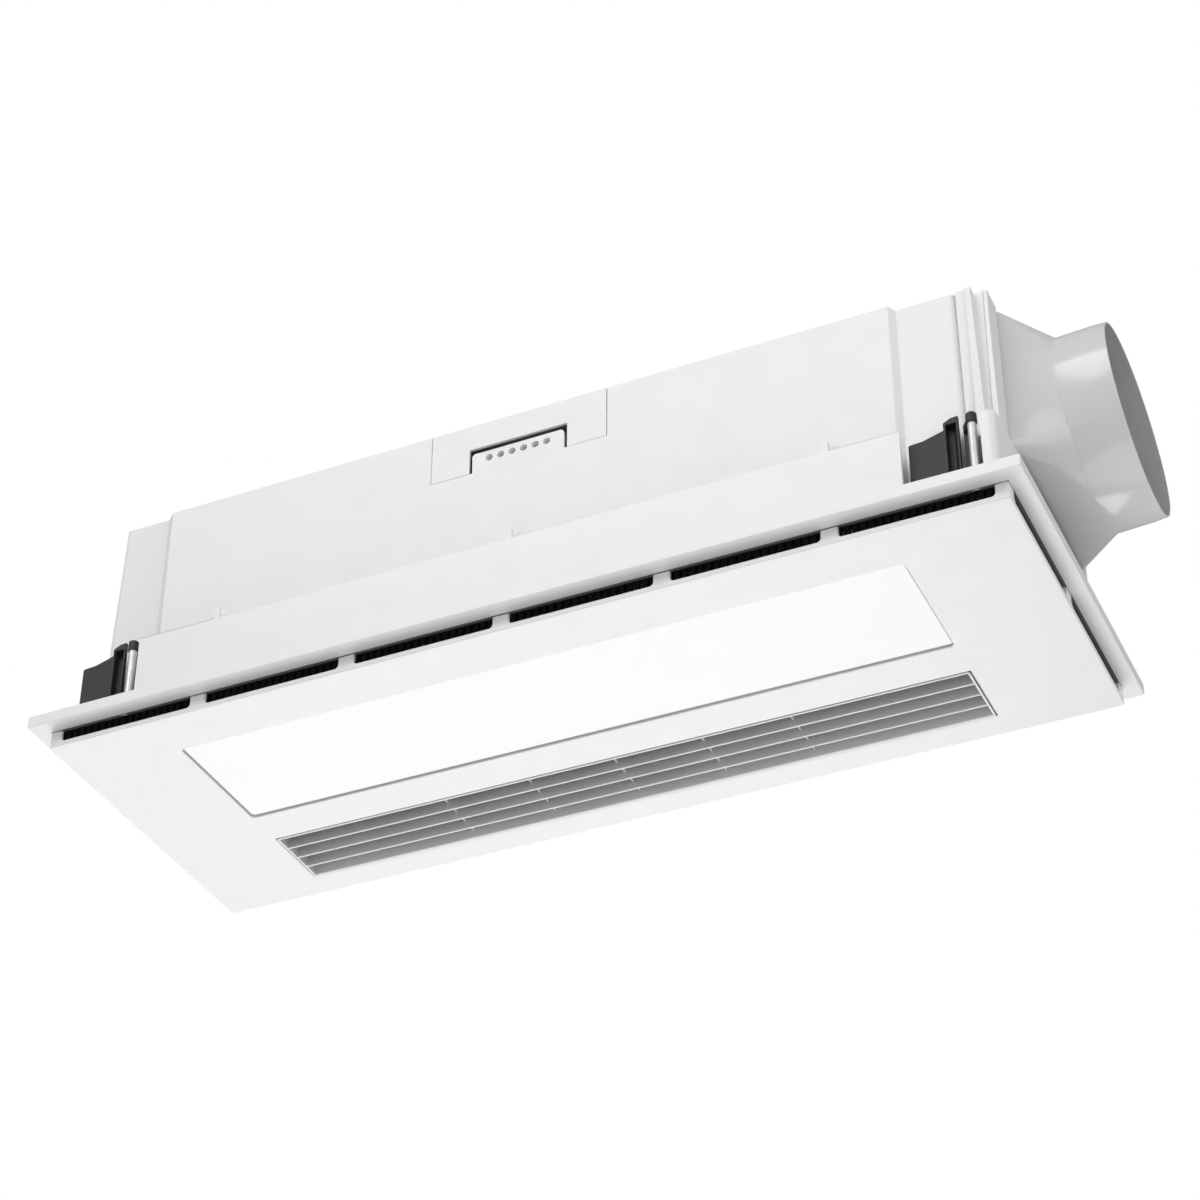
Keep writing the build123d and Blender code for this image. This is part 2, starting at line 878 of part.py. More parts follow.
def terminal_block():
    front = -plate_half_width + housing_wall
    x = (wiring_x - tongue_half_width + 1, wiring_x + tongue_half_width - 1)
    low = terminal_bottom
    body = block(x, (front, front + terminal_depth), (low, low + terminal_height))
    cuts = []
    y = front + terminal_depth / 2
    for x in wire_hole_places():
        cuts.append(rod(wire_hole_radius - 0.3, (x, front - 1, wire_hole_z), (x, y, wire_hole_z)))
        well = (x, y, low + terminal_height - small_screw_head)
        cuts.append(rod(terminal_screw_radius + fit_gap, well, (x, y, low + terminal_height + 1)))
    return body.cut(*cuts)


def terminal_screws():
    y = -plate_half_width + housing_wall + terminal_depth / 2
    top = terminal_bottom + terminal_height
    screws = []
    for x in wire_hole_places():
        screw = rod(terminal_screw_radius, (x, y, top - small_screw_head), (x, y, top - 0.5))
        reach = terminal_screw_radius
        slot = block((x - 0.4, x + 0.4), (y - reach, y + reach), (top - 1.2, top))
        screws.append(screw - slot)
    return screws


def housing_screws():
    y = -plate_half_width - housing_lip - screw_head_radius / 2
    seat = housing_bottom + housing_tab
    length = housing_tab + small_screw_length - window_clearance - 2.5
    screws = []
    for x in housing_tab_places:
        screws += both_ends(small_screw(length, (x, y, seat), (0, 0, 1)))
    return screws


def cover_screws():
    screws = []
    for x, y in cover_screw_places():
        screws.append(small_screw(housing_wall + cover_ledge - 0.5, (x, y, housing_top), (0, 0, 1)))
    return screws


# Outlet rails

def rail_screw_places():
    """Screws that hold the rails to the end wall."""
    reach = rail_throat - 2 * small_screw_head
    heights = (rail_bottom + rail_screw_inset, housing_top - rail_screw_inset)
    return [(side * reach, z) for side in (-1, 1) for z in heights]


def outlet_frame():
    heights = (rail_bottom, housing_top)
    plate_half = rail_throat + rail_plate_side
    plate = block((rail_start, rib_start), (-plate_half, plate_half), heights)
    side = []
    low = rail_bottom
    rib_y = -rail_throat - rail_rib_side
    rib_points = [
        (rib_start, rib_y, low),
        (rib_end + rail_rib_bottom_lean, rib_y, low),
        (rib_end + rail_rib_top_lean, rib_y, housing_top),
        (rib_start, rib_y, housing_top),
    ]
    side.append(prism(rib_points, (0, 1, 0), rail_rib_side))
    side.append(block((rib_start, outer_end), (-rail_throat - rail_web, -rail_throat), heights))
    outer_y = -rail_throat - rail_outer_side
    outer_points = [
        (outer_start, outer_y, low),
        (outer_end, outer_y, low),
        (outer_end, outer_y, housing_top),
        (outer_start + rail_outer_top_lean, outer_y, housing_top),
    ]
    outer_depth = -outer_y - adapter_half_width - 2 * adapter_clearance
    side.append(prism(outer_points, (0, 1, 0), outer_depth))
    pieces = [plate]
    for part in side:
        pieces.append(part)
        pieces.append(mirror(part, about=Plane.XZ))
    body = joined(pieces)
    cuts = [outlet_cut(rail_start - 1, rib_start + 1)]
    for y, z in rail_screw_places():
        cuts.append(rod(small_screw_radius + 0.2, (rail_start - 1, y, z), (rib_start + 1, y, z)))
    return body.cut(*cuts)


def outlet_frame_screws():
    screws = []
    for y, z in rail_screw_places():
        length = rail_plate + rail_seat_gap + housing_wall
        screws.append(small_screw(length, (rib_start, y, z), (1, 0, 0)))
    return screws


# Duct adapter

def spigot_point(distance):
    """Point on the spigot's axis, measured along it from its root."""
    tilt = math.radians(spigot_rise)
    root_x = outer_end + adapter_reach
    return Vector(root_x + distance * math.cos(tilt), 0, spigot_height + distance * math.sin(tilt))


def spigot_plane(distance):
    """Plane square to the spigot's axis, with its own Y axis up."""
    tilt = math.radians(spigot_rise)
    along = (math.cos(tilt), 0, math.sin(tilt))
    return Plane(origin=spigot_point(distance), x_dir=(0, 1, 0), z_dir=along)


def round_outline(radius, distance):
    """Circle across the spigot's axis, made of eight arcs."""
    plane = spigot_plane(distance)
    corner_half = 14
    angles = []
    for middle in (45, 135, 225, 315):
        angles += [middle - corner_half, middle + corner_half]
    edges = []
    for first, second in zip(angles, angles[1:] + [angles[0] + 360]):
        points = []
        for angle in (first, (first + second) / 2, second):
            turn = math.radians(angle)
            local = (radius * math.cos(turn), radius * math.sin(turn), 0)
            points.append(plane.from_local_coords(local))
        edges.append(ThreePointArc(*points))
    return Wire(edges)


def square_outline(inset, x):
    """Rounded rectangle across X, made of four corner arcs and four sides."""
    half = adapter_half_width - inset
    low = adapter_bottom + inset
    high = housing_top - inset
    radius = adapter_round - inset
    centres = [
        (half - radius, high - radius, 45), (radius - half, high - radius, 135),
        (radius - half, low + radius, 225), (half - radius, low + radius, 315),
    ]
    arcs = []
    for y, z, middle in centres:
        points = []
        for angle in (middle - 45, middle, middle + 45):
            turn = math.radians(angle)
            points.append((x, y + radius * math.cos(turn), z + radius * math.sin(turn)))
        arcs.append(points)
    edges = []
    for this, following in zip(arcs, arcs[1:] + arcs[:1]):
        edges.append(ThreePointArc(*this))
        edges.append(Line(this[-1], following[0]))
    return Wire(edges)


def adapter_hull(inset, start):
    """Straight rectangular part and the change to a circle, as one solid."""
    square = square_outline(inset, outer_end)
    straight = Solid.extrude(Face(square), Vector(start - outer_end, 0, 0))
    radius = spigot_radius - inset * spigot_wall / adapter_wall
    change = Solid.make_loft([square, round_outline(radius, 0)], ruled=True)
    return [straight, change]


def duct_adapter():
    flange_start = rib_end + adapter_clearance
    flange_end = outer_start - adapter_clearance
    flange_half = rail_throat - adapter_clearance
    flange_y = (-flange_half, flange_half)
    flange = block((flange_start, flange_end), flange_y, (adapter_bottom, housing_top))
    collar = block(
        (rib_start + adapter_clearance, flange_start),
        (outlet_front - adapter_straight, outlet_rear + adapter_straight),
        (outlet_bottom - adapter_straight, outlet_top + adapter_straight),
    )
    root = spigot_point(0)
    lead = spigot_point(spigot_length - spigot_lead)
    outside = rod(spigot_radius, root, lead)
    lead_start = spigot_plane(spigot_length - spigot_lead) * Circle(spigot_radius)
    lead_end = spigot_plane(spigot_length) * Circle(spigot_radius - spigot_lead_narrowing)
    taper = loft([lead_start, lead_end])
    outer = joined([flange, collar] + adapter_hull(0, flange_start) + [outside, taper])
    inner = joined(adapter_hull(adapter_wall, flange_end))
    bore = rod(spigot_radius - spigot_wall, root, spigot_point(spigot_length + 1))
    body = outer.cut(inner, bore, outlet_cut(rib_start - 1, outer_start + 1))
    seat = block(
        (flange_end, flange_end + flap_seat),
        (outlet_front - flap_seat_width, outlet_rear + flap_seat_width),
        (outlet_bottom - flap_seat_width, outlet_top + flap_seat_width),
    ) - outlet_cut(flange_end - 1, outer_start + flap_seat)
    extras = [seat] + flap_ears(flange_end)
    body = joined([body] + extras)
    start, end = flap_pin_ends()
    return body - rod(flap_pin_radius + fit_gap, start, end)


def flap_place():
    """X of the flap's pin and Z of its pin."""
    flange_end = outer_start - adapter_clearance
    x = flange_end + flap_seat + flap_gap + flap_thickness / 2
    return x, outlet_top + flap_pin_rise


def flap_ears(flange_end):
    """Two ears that carry the flap's pin."""
    x, z = flap_place()
    ears = []
    for y in ear_places():
        ears.append(block((flange_end, x + flap_knuckle), y, (z - flap_knuckle, z + flap_knuckle)))
    return ears


def ear_places():
    """Y range of each ear."""
    front = outlet_front - flap_overlap - flap_side_gap
    rear = outlet_rear + flap_overlap + flap_side_gap
    return (front - flap_ear, front), (rear, rear + flap_ear)


def flap_pin_ends():
    """Ends of the pin, one millimetre outside the ears."""
    x, z = flap_place()
    front, rear = ear_places()
    return (x, front[0] - 1, z), (x, rear[1] + 1, z)


def backdraft_flap():
    x, z = flap_place()
    y = (outlet_front - flap_overlap, outlet_rear + flap_overlap)
    plate = block((x - flap_thickness / 2, x + flap_thickness / 2), y, (outlet_bottom - flap_overlap, z))
    knuckle = rod(flap_knuckle - 1, (x, y[0], z), (x, y[1], z))
    return plate + knuckle - rod(flap_pin_radius - 0.5 + running_gap, (x, y[0] - 1, z), (x, y[1] + 1, z))


def flap_pin():
    start, end = flap_pin_ends()
    front, rear = ear_places()
    x, z = flap_place()
    thin = rod(flap_pin_radius - 0.5, start, end)
    heads = [rod(flap_pin_radius, start, (x, front[1], z)), rod(flap_pin_radius, (x, rear[0], z), end)]
    return joined([thin] + heads)


# Swing clamps, drawn about the screw's axis with the arm towards -X

def placed(shape, x, y, turn):
    """Clamp part moved from the screw's axis to its place."""
    return Pos(x, y, 0) * Rot(0, 0, turn) * shape


def clamp_screw_shape():
    seat = flange_bottom + screw_head_height
    head = rod(screw_head_radius, (0, 0, flange_bottom + 0.2), (0, 0, seat))
    drive = extrude(Plane(origin=(0, 0, flange_bottom + 0.2)) * RegularPolygon(2, 6), 2)
    return (head - drive) + rod(screw_radius, (0, 0, seat), (0, 0, screw_tip_cover))


def clamp_bracket_shape():
    post_x = (-bracket_post_outer, -bracket_post_inner)
    post_y = (bracket_post_front, bracket_post_front + bracket_post_depth)
    post = block(post_x, post_y, (floor_top, bracket_cap_top))
    foot_y = (bracket_post_front - 1, post_y[1] + 1)
    foot = block((-bracket_post_outer - 3, 1), foot_y, (floor_top, floor_top + 2))
    cap = rod(bracket_cap_radius, (0, 0, bracket_cap_bottom), (0, 0, bracket_cap_top))
    top_edge = cap.edges().group_by(Axis.Z)[-1]
    cap = fillet(top_edge, 1)
    link_points = [
        (-bracket_cap_radius * 0.8, 1, bracket_cap_bottom + 1),
        (-bracket_post_outer, bracket_post_front, bracket_cap_bottom + 1),
        (-bracket_post_inner, post_y[1], bracket_cap_bottom + 1),
        (bracket_cap_radius * 0.6, 2, bracket_cap_bottom + 1),
    ]
    link = prism(link_points, (0, 0, 1), bracket_cap_top - bracket_cap_bottom - 1.5)
    body = joined([post, foot, cap, link])
    socket = rod(screw_radius + fit_gap, (0, 0, bracket_cap_bottom - 1), (0, 0, screw_tip_cover + 0.3))
    return body - socket


def clamp_nut_shape():
    flange = rod(nut_flange_radius, (0, 0, nut_bottom), (0, 0, nut_bottom + nut_flange))
    body = rod(nut_radius, (0, 0, nut_bottom + nut_flange), (0, 0, nut_bottom + nut_height))
    hole = rod(screw_radius + running_gap, (0, 0, 0), (0, 0, nut_bottom + nut_height + 1))
    return flange + body - hole


def clamp_arm_shape():
    ring_low = nut_bottom + nut_flange + arm_ring_gap
    sleeve = rod(arm_ring_radius, (0, 0, ring_low), (0, 0, ring_low + arm_ring_height))
    riser_x = (-nut_flange_radius - 2, -nut_radius - 0.6)
    riser = block(riser_x, (-3, 2.5), (ring_low, arm_foot + arm_foot_height))
    base_points = [
        (-nut_radius - 0.6, -3, arm_foot), (-nut_radius - 0.6, 2.5, arm_foot),
        (-arm_hub_end, arm_front + arm_thickness, arm_foot),
        (-arm_hub_start, arm_front + arm_thickness, arm_foot),
        (-arm_hub_start, 0, arm_foot), (-nut_flange_radius - 2, -3, arm_foot),
    ]
    base = prism(base_points, (0, 0, 1), arm_foot_height)
    wing_points = [
        (-arm_reach, arm_front, arm_foot), (-arm_hub_start, arm_front, arm_foot),
        (-arm_hub_start, arm_front, arm_root_top), (-arm_bend, arm_front, arm_bend_top),
        (-arm_reach + 0.8, arm_front, arm_tip_top), (-arm_reach, arm_front, arm_tip_top - 0.8),
    ]
    wing = prism(wing_points, (0, 1, 0), arm_thickness)
    pad = block((-arm_reach, -arm_hub_start), (arm_front, arm_front + arm_hub_depth),
                (arm_foot, arm_foot + arm_foot_height))
    rear = arm_front + arm_hub_depth
    hub_plan = [
        (-arm_hub_start, arm_front, arm_foot), (-arm_hub_start, rear, arm_foot),
        (-arm_hub_end - 3.2, rear, arm_foot), (-arm_hub_end, arm_front + arm_thickness, arm_foot),
        (-arm_hub_end, arm_front, arm_foot),
    ]
    hub = prism(hub_plan, (0, 0, 1), arm_hub_top_inner - arm_foot)
    wall = arm_hub_wall
    channel_plan = [
        (-arm_hub_start + wall, arm_front - 1, arm_foot + arm_foot_height),
        (-arm_hub_start + wall, rear - wall, arm_foot + arm_foot_height),
        (-arm_hub_end - 3.2 - wall / 2, rear - wall, arm_foot + arm_foot_height),
        (-arm_hub_end - wall, arm_front + arm_thickness - wall / 2, arm_foot + arm_foot_height),
        (-arm_hub_end - wall, arm_front - 1, arm_foot + arm_foot_height),
    ]
    channel_height = arm_hub_top_outer - wall - arm_foot - arm_foot_height
    channel = prism(channel_plan, (0, 0, 1), channel_height)
    slope = [
        (-arm_hub_start - 1, arm_front - 1, arm_hub_top_outer - 0.2),
        (-arm_hub_start / 2 - arm_hub_end / 2, arm_front - 1, arm_hub_top_inner - 0.5),
        (-arm_hub_end + 1, arm_front - 1, arm_hub_top_inner + 0.1),
        (-arm_hub_end + 1, arm_front - 1, arm_hub_top_inner + 5),
        (-arm_hub_start - 1, arm_front - 1, arm_hub_top_inner + 5),
    ]
    hub = hub - channel - prism(slope, (0, 1, 0), arm_hub_depth + 2)
    body = joined([sleeve, riser, base, wing, pad, hub])
    return body - rod(nut_radius + running_gap, (0, 0, 0), (0, 0, ring_low + arm_ring_height + 1))


def write_clamps():
    screws = []
    brackets = []
    for name, x, y, turn in clamp_screws():
        screws.append(placed(clamp_screw_shape(), x, y, turn))
        brackets.append(placed(clamp_bracket_shape(), x, y, turn))
        write(f"clamp_nut_{name}", placed(clamp_nut_shape(), x, y, turn))
        write(f"clamp_arm_{name}", placed(clamp_arm_shape(), x, y, turn))
    write("clamp_screws", screws)
    write("clamp_brackets", brackets)


# Exhaust fan

def spiral_point(angle):
    """Point on the scroll's inner wall at an angle about the fan's axis."""
    share = (angle - scroll_start_angle) / (scroll_end_angle - scroll_start_angle)
    radius = scroll_start_radius + share * (scroll_end_radius - scroll_start_radius)
    turn = math.radians(angle)
    return fan_x + radius * math.cos(turn), fan_y + radius * math.sin(turn)


def scroll_region(z):
    """Plan of the air passage, run on past the end wall."""
    steps = 8
    angles = span(scroll_start_angle, scroll_end_angle, 2 * steps + 1)
    edges = []
    for i in range(steps):
        edges.append(ThreePointArc(*[(*spiral_point(a), z) for a in angles[2 * i:2 * i + 3]]))
    last = spiral_point(scroll_end_angle)
    first = spiral_point(scroll_start_angle)
    mid_x = fan_x + scroll_start_radius / 2
    end_x = right_end + 5
    throat_x = right_end - 2 * housing_wall
    outline = [(*last, z), (mid_x, last[1], z), (throat_x, outlet_front, z), (end_x, outlet_front, z)]
    outline += [(end_x, outlet_rear, z), (throat_x, outlet_rear, z), (*first, z)]
    for a, b in zip(outline, outline[1:]):
        edges.append(Line(a, b))
    return Face(Wire(edges))


def scroll_plan(amount):
    """Air passage in plan, widened by amount and stopped short of the end wall."""
    face = scroll_region(0)
    return offset(face, amount=amount, kind=Kind.INTERSECTION) if amount else face


def scroll_trim():
    """Block that ends the scroll just inside the end wall."""
    start = right_end - housing_wall - scroll_end_gap
    wide = (-plate_half_width, plate_half_width)
    return block((start, right_end + 4 * adapter_straight), wide, (0, housing_top))


def exhaust_scroll():
    height = scroll_top - scroll_bottom
    outer = extrude(Pos(0, 0, scroll_bottom) * scroll_plan(scroll_wall), height)
    inner = extrude(Pos(0, 0, scroll_bottom + scroll_wall) * scroll_plan(0), height)
    inlet = rod(scroll_inlet_radius, *fan_axis(0, scroll_bottom + scroll_wall + 1))
    bell_heights = fan_axis(scroll_bottom - scroll_wall, scroll_bottom + 2 * scroll_wall)
    bell = ring(scroll_inlet_radius + scroll_wall, scroll_inlet_radius, *bell_heights)
    return (outer - inner - scroll_trim() - inlet) + bell


def exhaust_scroll_lid():
    low = scroll_top
    plate = extrude(Pos(0, 0, low) * scroll_plan(scroll_wall), scroll_wall)
    return plate - scroll_trim() - rod(lid_hole_radius, *fan_axis(low - 1, low + scroll_wall + 1))


def fan_posts():
    low = scroll_top + scroll_wall
    posts = []
    for angle in (45, 135, 225, 315):
        turn = math.radians(angle)
        x = fan_x + fan_post_circle * math.cos(turn)
        y = fan_y + fan_post_circle * math.sin(turn)
        posts.append(rod(fan_post_radius, (x, y, low), (x, y, housing_inside)))
    return posts


def fan_axis(low, high):
    """Two points on the fan's axis."""
    return (fan_x, fan_y, low), (fan_x, fan_y, high)


def exhaust_impeller():
    top = impeller_top
    low = impeller_bottom
    inner = impeller_radius - impeller_blade_depth
    plate = rod(impeller_radius, *fan_axis(top - impeller_plate, top))
    rim = ring(impeller_radius, inner, *fan_axis(low, low + impeller_plate))
    hub = rod(impeller_hub_radius, *fan_axis(top - impeller_hub_height, top))
    blades = []
    middle = impeller_radius - impeller_blade_depth / 2
    height = top - low - impeller_plate
    blade = Pos(middle, 0, low + height / 2) * Rot(0, 0, impeller_blade_angle) * Box(
        impeller_blade_depth - impeller_blade, impeller_blade, height
    )
    for i in range(impeller_blades):
        blades.append(Pos(fan_x, fan_y, 0) * Rot(0, 0, 360 / impeller_blades * i) * blade)
    body = joined([plate, rim, hub] + blades)
    return body - rod(shaft_radius + fit_gap, *fan_axis(low, top + 1))


def impeller_nut():
    high = impeller_top - impeller_hub_height
    low = high - impeller_nut_height
    outline = RegularPolygon(impeller_nut_across / 2, 6, major_radius=False)
    hexagon = extrude(Pos(fan_x, fan_y, low) * outline, impeller_nut_height)
    return hexagon - rod(shaft_radius + fit_gap, *fan_axis(low - 1, high + 1))


def exhaust_motor_case():
    low, high = fan_motor_bottom, fan_motor_top
    shell = ring(fan_motor_radius, fan_motor_radius - fan_motor_wall, *fan_axis(low, high))
    floor = rod(fan_motor_radius, *fan_axis(low, low + fan_motor_wall))
    roof = rod(fan_motor_radius, *fan_axis(high - fan_motor_wall, high))
    bosses = [rod(fan_boss_radius, *fan_axis(low, low + fan_boss_height)),
              rod(fan_boss_radius, *fan_axis(high - fan_boss_height, high))]
    body = joined([shell, floor, roof] + bosses)
    pocket = bearing_radius + fit_gap
    hole = shaft_radius + 0.6
    return body.cut(
        rod(hole, *fan_axis(low - 1, high - 1)),
        rod(pocket, *fan_axis(low + fan_boss_height - bearing_height, low + fan_boss_height + 1)),
        rod(pocket, *fan_axis(high - fan_boss_height - 1, high - fan_boss_height + bearing_height)),
    )


def exhaust_bearings():
    low, high = fan_motor_bottom, fan_motor_top
    inner = shaft_radius + running_gap
    lower = fan_axis(low + fan_boss_height - bearing_height, low + fan_boss_height)
    upper = fan_axis(high - fan_boss_height, high - fan_boss_height + bearing_height)
    return [ring(bearing_radius, inner, *lower), ring(bearing_radius, inner, *upper)]


def core_heights():
    """Bottom and top of the exhaust motor's cores."""
    low, high = fan_motor_bottom, fan_motor_top
    middle = (low + high) / 2
    return middle - fan_core_height / 2, middle + fan_core_height / 2


def exhaust_motor_stator():
    outer = fan_motor_radius - fan_motor_wall - fit_gap
    return ring(outer, fan_stator_radius, *fan_axis(*core_heights()))


def exhaust_motor_rotor():
    low, high = fan_motor_bottom, fan_motor_top
    foot = impeller_top - impeller_hub_height - impeller_nut_height - 1
    shaft = rod(shaft_radius, *fan_axis(foot, high - fan_boss_height + bearing_height - 0.3))
    return shaft + rod(fan_rotor_radius, *fan_axis(*core_heights()))


# Heater blower

def blower_axis(left, right):
    """Two points on the blower's axis."""
    return (left, blower_y, blower_z), (right, blower_y, blower_z)


def casing_plates():
    """X ranges of the casing's two end plates."""
    left = wheel_left - casing_gap
    right = wheel_right + casing_gap
    return (left - casing_sheet, left), (right, right + casing_sheet)


def casing_point(angle, extra):
    """Point on the casing's rear wall, angle from +Y towards +Z."""
    share = (100 - angle) / 100
    radius = casing_radius + casing_widening * share + extra
    turn = math.radians(angle)
    return blower_y + radius * math.cos(turn), blower_z + radius * math.sin(turn)


def arc_through(x, points):
    """Arc across X through three points given as Y and Z."""
    return ThreePointArc(*[(x, *point) for point in points])


def casing_rear_wall(x):
    """Section of the curved rear wall, run down to the heater frame."""
    foot = heater_top
    inner = [casing_point(a, 0) for a in (100, 75, 50, 25, 0)]
    outer = [casing_point(a, casing_sheet) for a in (0, 25, 50, 75, 100)]
    arcs = [
        arc_through(x, inner[:3]),
        arc_through(x, inner[2:]),
        Line((x, *inner[-1]), (x, inner[-1][0], foot)),
        Line((x, inner[-1][0], foot), (x, outer[0][0], foot)),
        Line((x, outer[0][0], foot), (x, *outer[0])),
        arc_through(x, outer[:3]),
        arc_through(x, outer[2:]),
        Line((x, *outer[-1]), (x, *inner[0])),
    ]
    return Face(Wire(arcs))


def heater_blower_casing():
    plates = casing_plates()
    left = plates[0][0]
    right = plates[1][1]
    rear = Solid.extrude(casing_rear_wall(left), Vector(right - left, 0, 0))
    front_y = blower_y - casing_front
    top_y = blower_y - casing_radius
    tongue_top_z = blower_z - wheel_radius / 2
    tongue = [
        (left, front_y, heater_top),
        (left, front_y + casing_sheet, heater_top),
        (left, top_y + casing_sheet, tongue_top_z),
        (left, top_y, tongue_top_z),
    ]
    pieces = [rear, prism(tongue, (1, 0, 0), right - left)]
    end_rear = casing_point(0, casing_sheet)[0]
    end_top = blower_z + casing_radius + casing_sheet
    for x in plates:
        pieces.append(block(x, (blower_y - casing_end_front, end_rear), (heater_top, end_top)))
        strap_y = (blower_y - casing_strap_width / 2, blower_y + casing_strap_width / 2)
        pieces.append(block(x, strap_y, (end_top - 1, housing_inside)))
    foot_z = (housing_inside - casing_sheet, housing_inside)
    pieces.append(block((left, left + casing_strap_foot), strap_y, foot_z))
    pieces.append(block((right - casing_strap_foot, right), strap_y, foot_z))
    body = joined(pieces)
    return body.cut(
        rod(bush_radius + fit_gap, *blower_axis(left - 1, left + casing_sheet + 1)),
        rod(heater_hub_radius + 1, *blower_axis(right - casing_sheet - 1, right + 1)),
    )


def heater_blower_wheel():
    discs = []
    places = span(wheel_left, wheel_right - wheel_disc, wheel_discs)
    for i, x in enumerate(places):
        solid_end = i in (0, wheel_discs - 1)
        disc = rod(wheel_radius, *blower_axis(x, x + wheel_disc))
        if not solid_end:
            disc -= rod(wheel_radius - wheel_blade_depth, *blower_axis(x - 1, x + wheel_disc + 1))
        discs.append(disc)
    middle = wheel_radius - wheel_blade_depth / 2
    length = wheel_right - wheel_left
    blade = Pos(0, middle, 0) * Rot(impeller_blade_angle, 0, 0) * Box(
        length, wheel_blade_depth - 2 * wheel_blade, wheel_blade
    )
    blades = []
    centre = Pos((wheel_left + wheel_right) / 2, blower_y, blower_z)
    for i in range(wheel_blades):
        blades.append(centre * Rot(360 / wheel_blades * i, 0, 0) * blade)
    stub = rod(stub_radius, *blower_axis(wheel_left - stub_length, wheel_left + wheel_disc))
    hub = rod(heater_hub_radius, *blower_axis(wheel_right - heater_hub_length, wheel_right))
    body = joined(discs + blades + [stub, hub])
    hub_start = wheel_right - heater_hub_length
    return body - rod(stub_radius + fit_gap, *blower_axis(hub_start, wheel_right + 1))


def heater_bearing():
    left = casing_plates()[0][0] - (bush_length - casing_sheet) / 2
    return ring(bush_radius, stub_radius + running_gap, *blower_axis(left, left + bush_length))


def heater_motor_ends():
    """X of the motor case's two ends."""
    start = casing_plates()[1][1]
    return start, start + heater_motor_length


def heater_motor_case():
    start, end = heater_motor_ends()
    wall = heater_motor_wall
    shell = ring(heater_motor_radius, heater_motor_radius - wall, *blower_axis(start, end))
    ends = [rod(heater_motor_radius, *blower_axis(start, start + wall)),
            rod(heater_motor_radius, *blower_axis(end - wall, end)),
            rod(heater_motor_boss, *blower_axis(start, start + 3 * wall)),
            rod(heater_motor_boss, *blower_axis(end - 3 * wall, end))]
    bore = rod(stub_radius + running_gap, *blower_axis(start - 1, end - wall / 2))
    return joined([shell] + ends) - bore


def heater_core():
    """X of the heater motor's cores."""
    start, end = heater_motor_ends()
    middle = (start + end) / 2
    return middle - heater_core_length / 2, middle + heater_core_length / 2


def heater_motor_stator():
    outer = heater_motor_radius - heater_motor_wall - fit_gap
    return ring(outer, heater_stator_radius, *blower_axis(*heater_core()))


def heater_motor_rotor():
    start, end = heater_motor_ends()
    shaft = rod(stub_radius, *blower_axis(wheel_right - heater_hub_length + 1, end - heater_motor_wall))
    return shaft + rod(heater_rotor_radius, *blower_axis(*heater_core()))


# Heater element

def heater_frame():
    outer = block((heater_left, heater_right), (heater_front, heater_rear), (heater_bottom, heater_top))
    hole = block(
        (heater_left + heater_wall, heater_right - heater_wall),
        (heater_front + heater_wall, heater_rear - heater_wall),
        (heater_bottom - 1, heater_top + 1),
    )
    return outer - hole


def element_layers():
    """Y range of each layer of the heater element, fins and bars by turns."""
    front = heater_front + heater_wall
    rear = heater_rear - heater_wall
    fin = (rear - front - element_bars * element_bar) / (element_bars + 1)
    fins = []
    bars = []
    y = front
    for i in range(element_bars + 1):
        fins.append((y, y + fin))
        y += fin
        if i < element_bars:
            bars.append((y, y + element_bar))
            y += element_bar
    return fins, bars


def element_heights():
    """Bottom and top of the heater element."""
    low = heater_bottom + element_gap
    return low, low + element_height


def ptc_element_bars():
    x = (heater_left + heater_wall, heater_right - heater_wall)
    return [block(x, y, element_heights()) for y in element_layers()[1]]


def ptc_fin_blocks():
    left = heater_left + heater_wall
    right = heater_right - heater_wall
    count = int((right - left) // fin_pitch)
    blocks = []
    for front, rear in element_layers()[0]:
        depth = rear - front - 2 * fin_skin
        face = slotted_face(right - left, rear - front, fin_slot, depth, fin_pitch, count)
        low, high = element_heights()
        place = Pos((left + right) / 2, (front + rear) / 2, low)
        blocks.append(place * Solid.extrude(face, Vector(0, 0, high - low)))
    return blocks


def heater_plenum():
    half = window_length / 2 + plenum_clearance
    front = grille_window_front + grille_clearance - plenum_clearance
    rear = grille_window_rear - grille_clearance + plenum_clearance
    low = panel_inside + diffuser_lip
    sheet = plenum_sheet
    outer = block((-half - sheet, half + sheet), (front - sheet, rear + sheet), (low, plenum_top))
    inner = block((-half, half), (front, rear), (low - 1, plenum_top - sheet))
    opening = block(
        (heater_left + heater_wall, heater_right - heater_wall),
        (heater_front + heater_wall, heater_rear - heater_wall),
        (0, plenum_top + 1),
    )
    return outer - inner - opening


def thermal_cutout():
    y = (heater_front + heater_rear) / 2
    return rod(cutout_radius, (cutout_x, y, plenum_top), (cutout_x, y, plenum_top + cutout_height))


def thermal_fuse():
    y = (heater_front + heater_rear) / 2
    z = plenum_top + fuse_radius
    body = rod(fuse_radius, (fuse_x, y - fuse_length / 2, z), (fuse_x, y + fuse_length / 2, z))
    foot = block((fuse_x - 1, fuse_x + 1), (y - fuse_length / 4, y + fuse_length / 4), (plenum_top, z))
    return body + foot


# Light engine

def tray_half_length():
    """Half the length of the light tray's inside."""
    return window_length / 2 + window_lip + tray_margin


def tray_sides():
    """Front and rear of the light tray's inside."""
    return light_window_front - window_lip - tray_margin, light_window_rear + window_lip + tray_margin


def tray_tab_places():
    """X of each pair of the tray's tabs."""
    reach = window_length / 2 - tray_tab_inset
    return -reach, 0, reach


def tray_screw_places():
    """Screws that hold the tray's tabs to the panel's bosses."""
    front, rear = tray_sides()
    reach = tray_sheet + tray_tab / 2
    return [(x, y) for x in tray_tab_places() for y in (front - reach, rear + reach)]


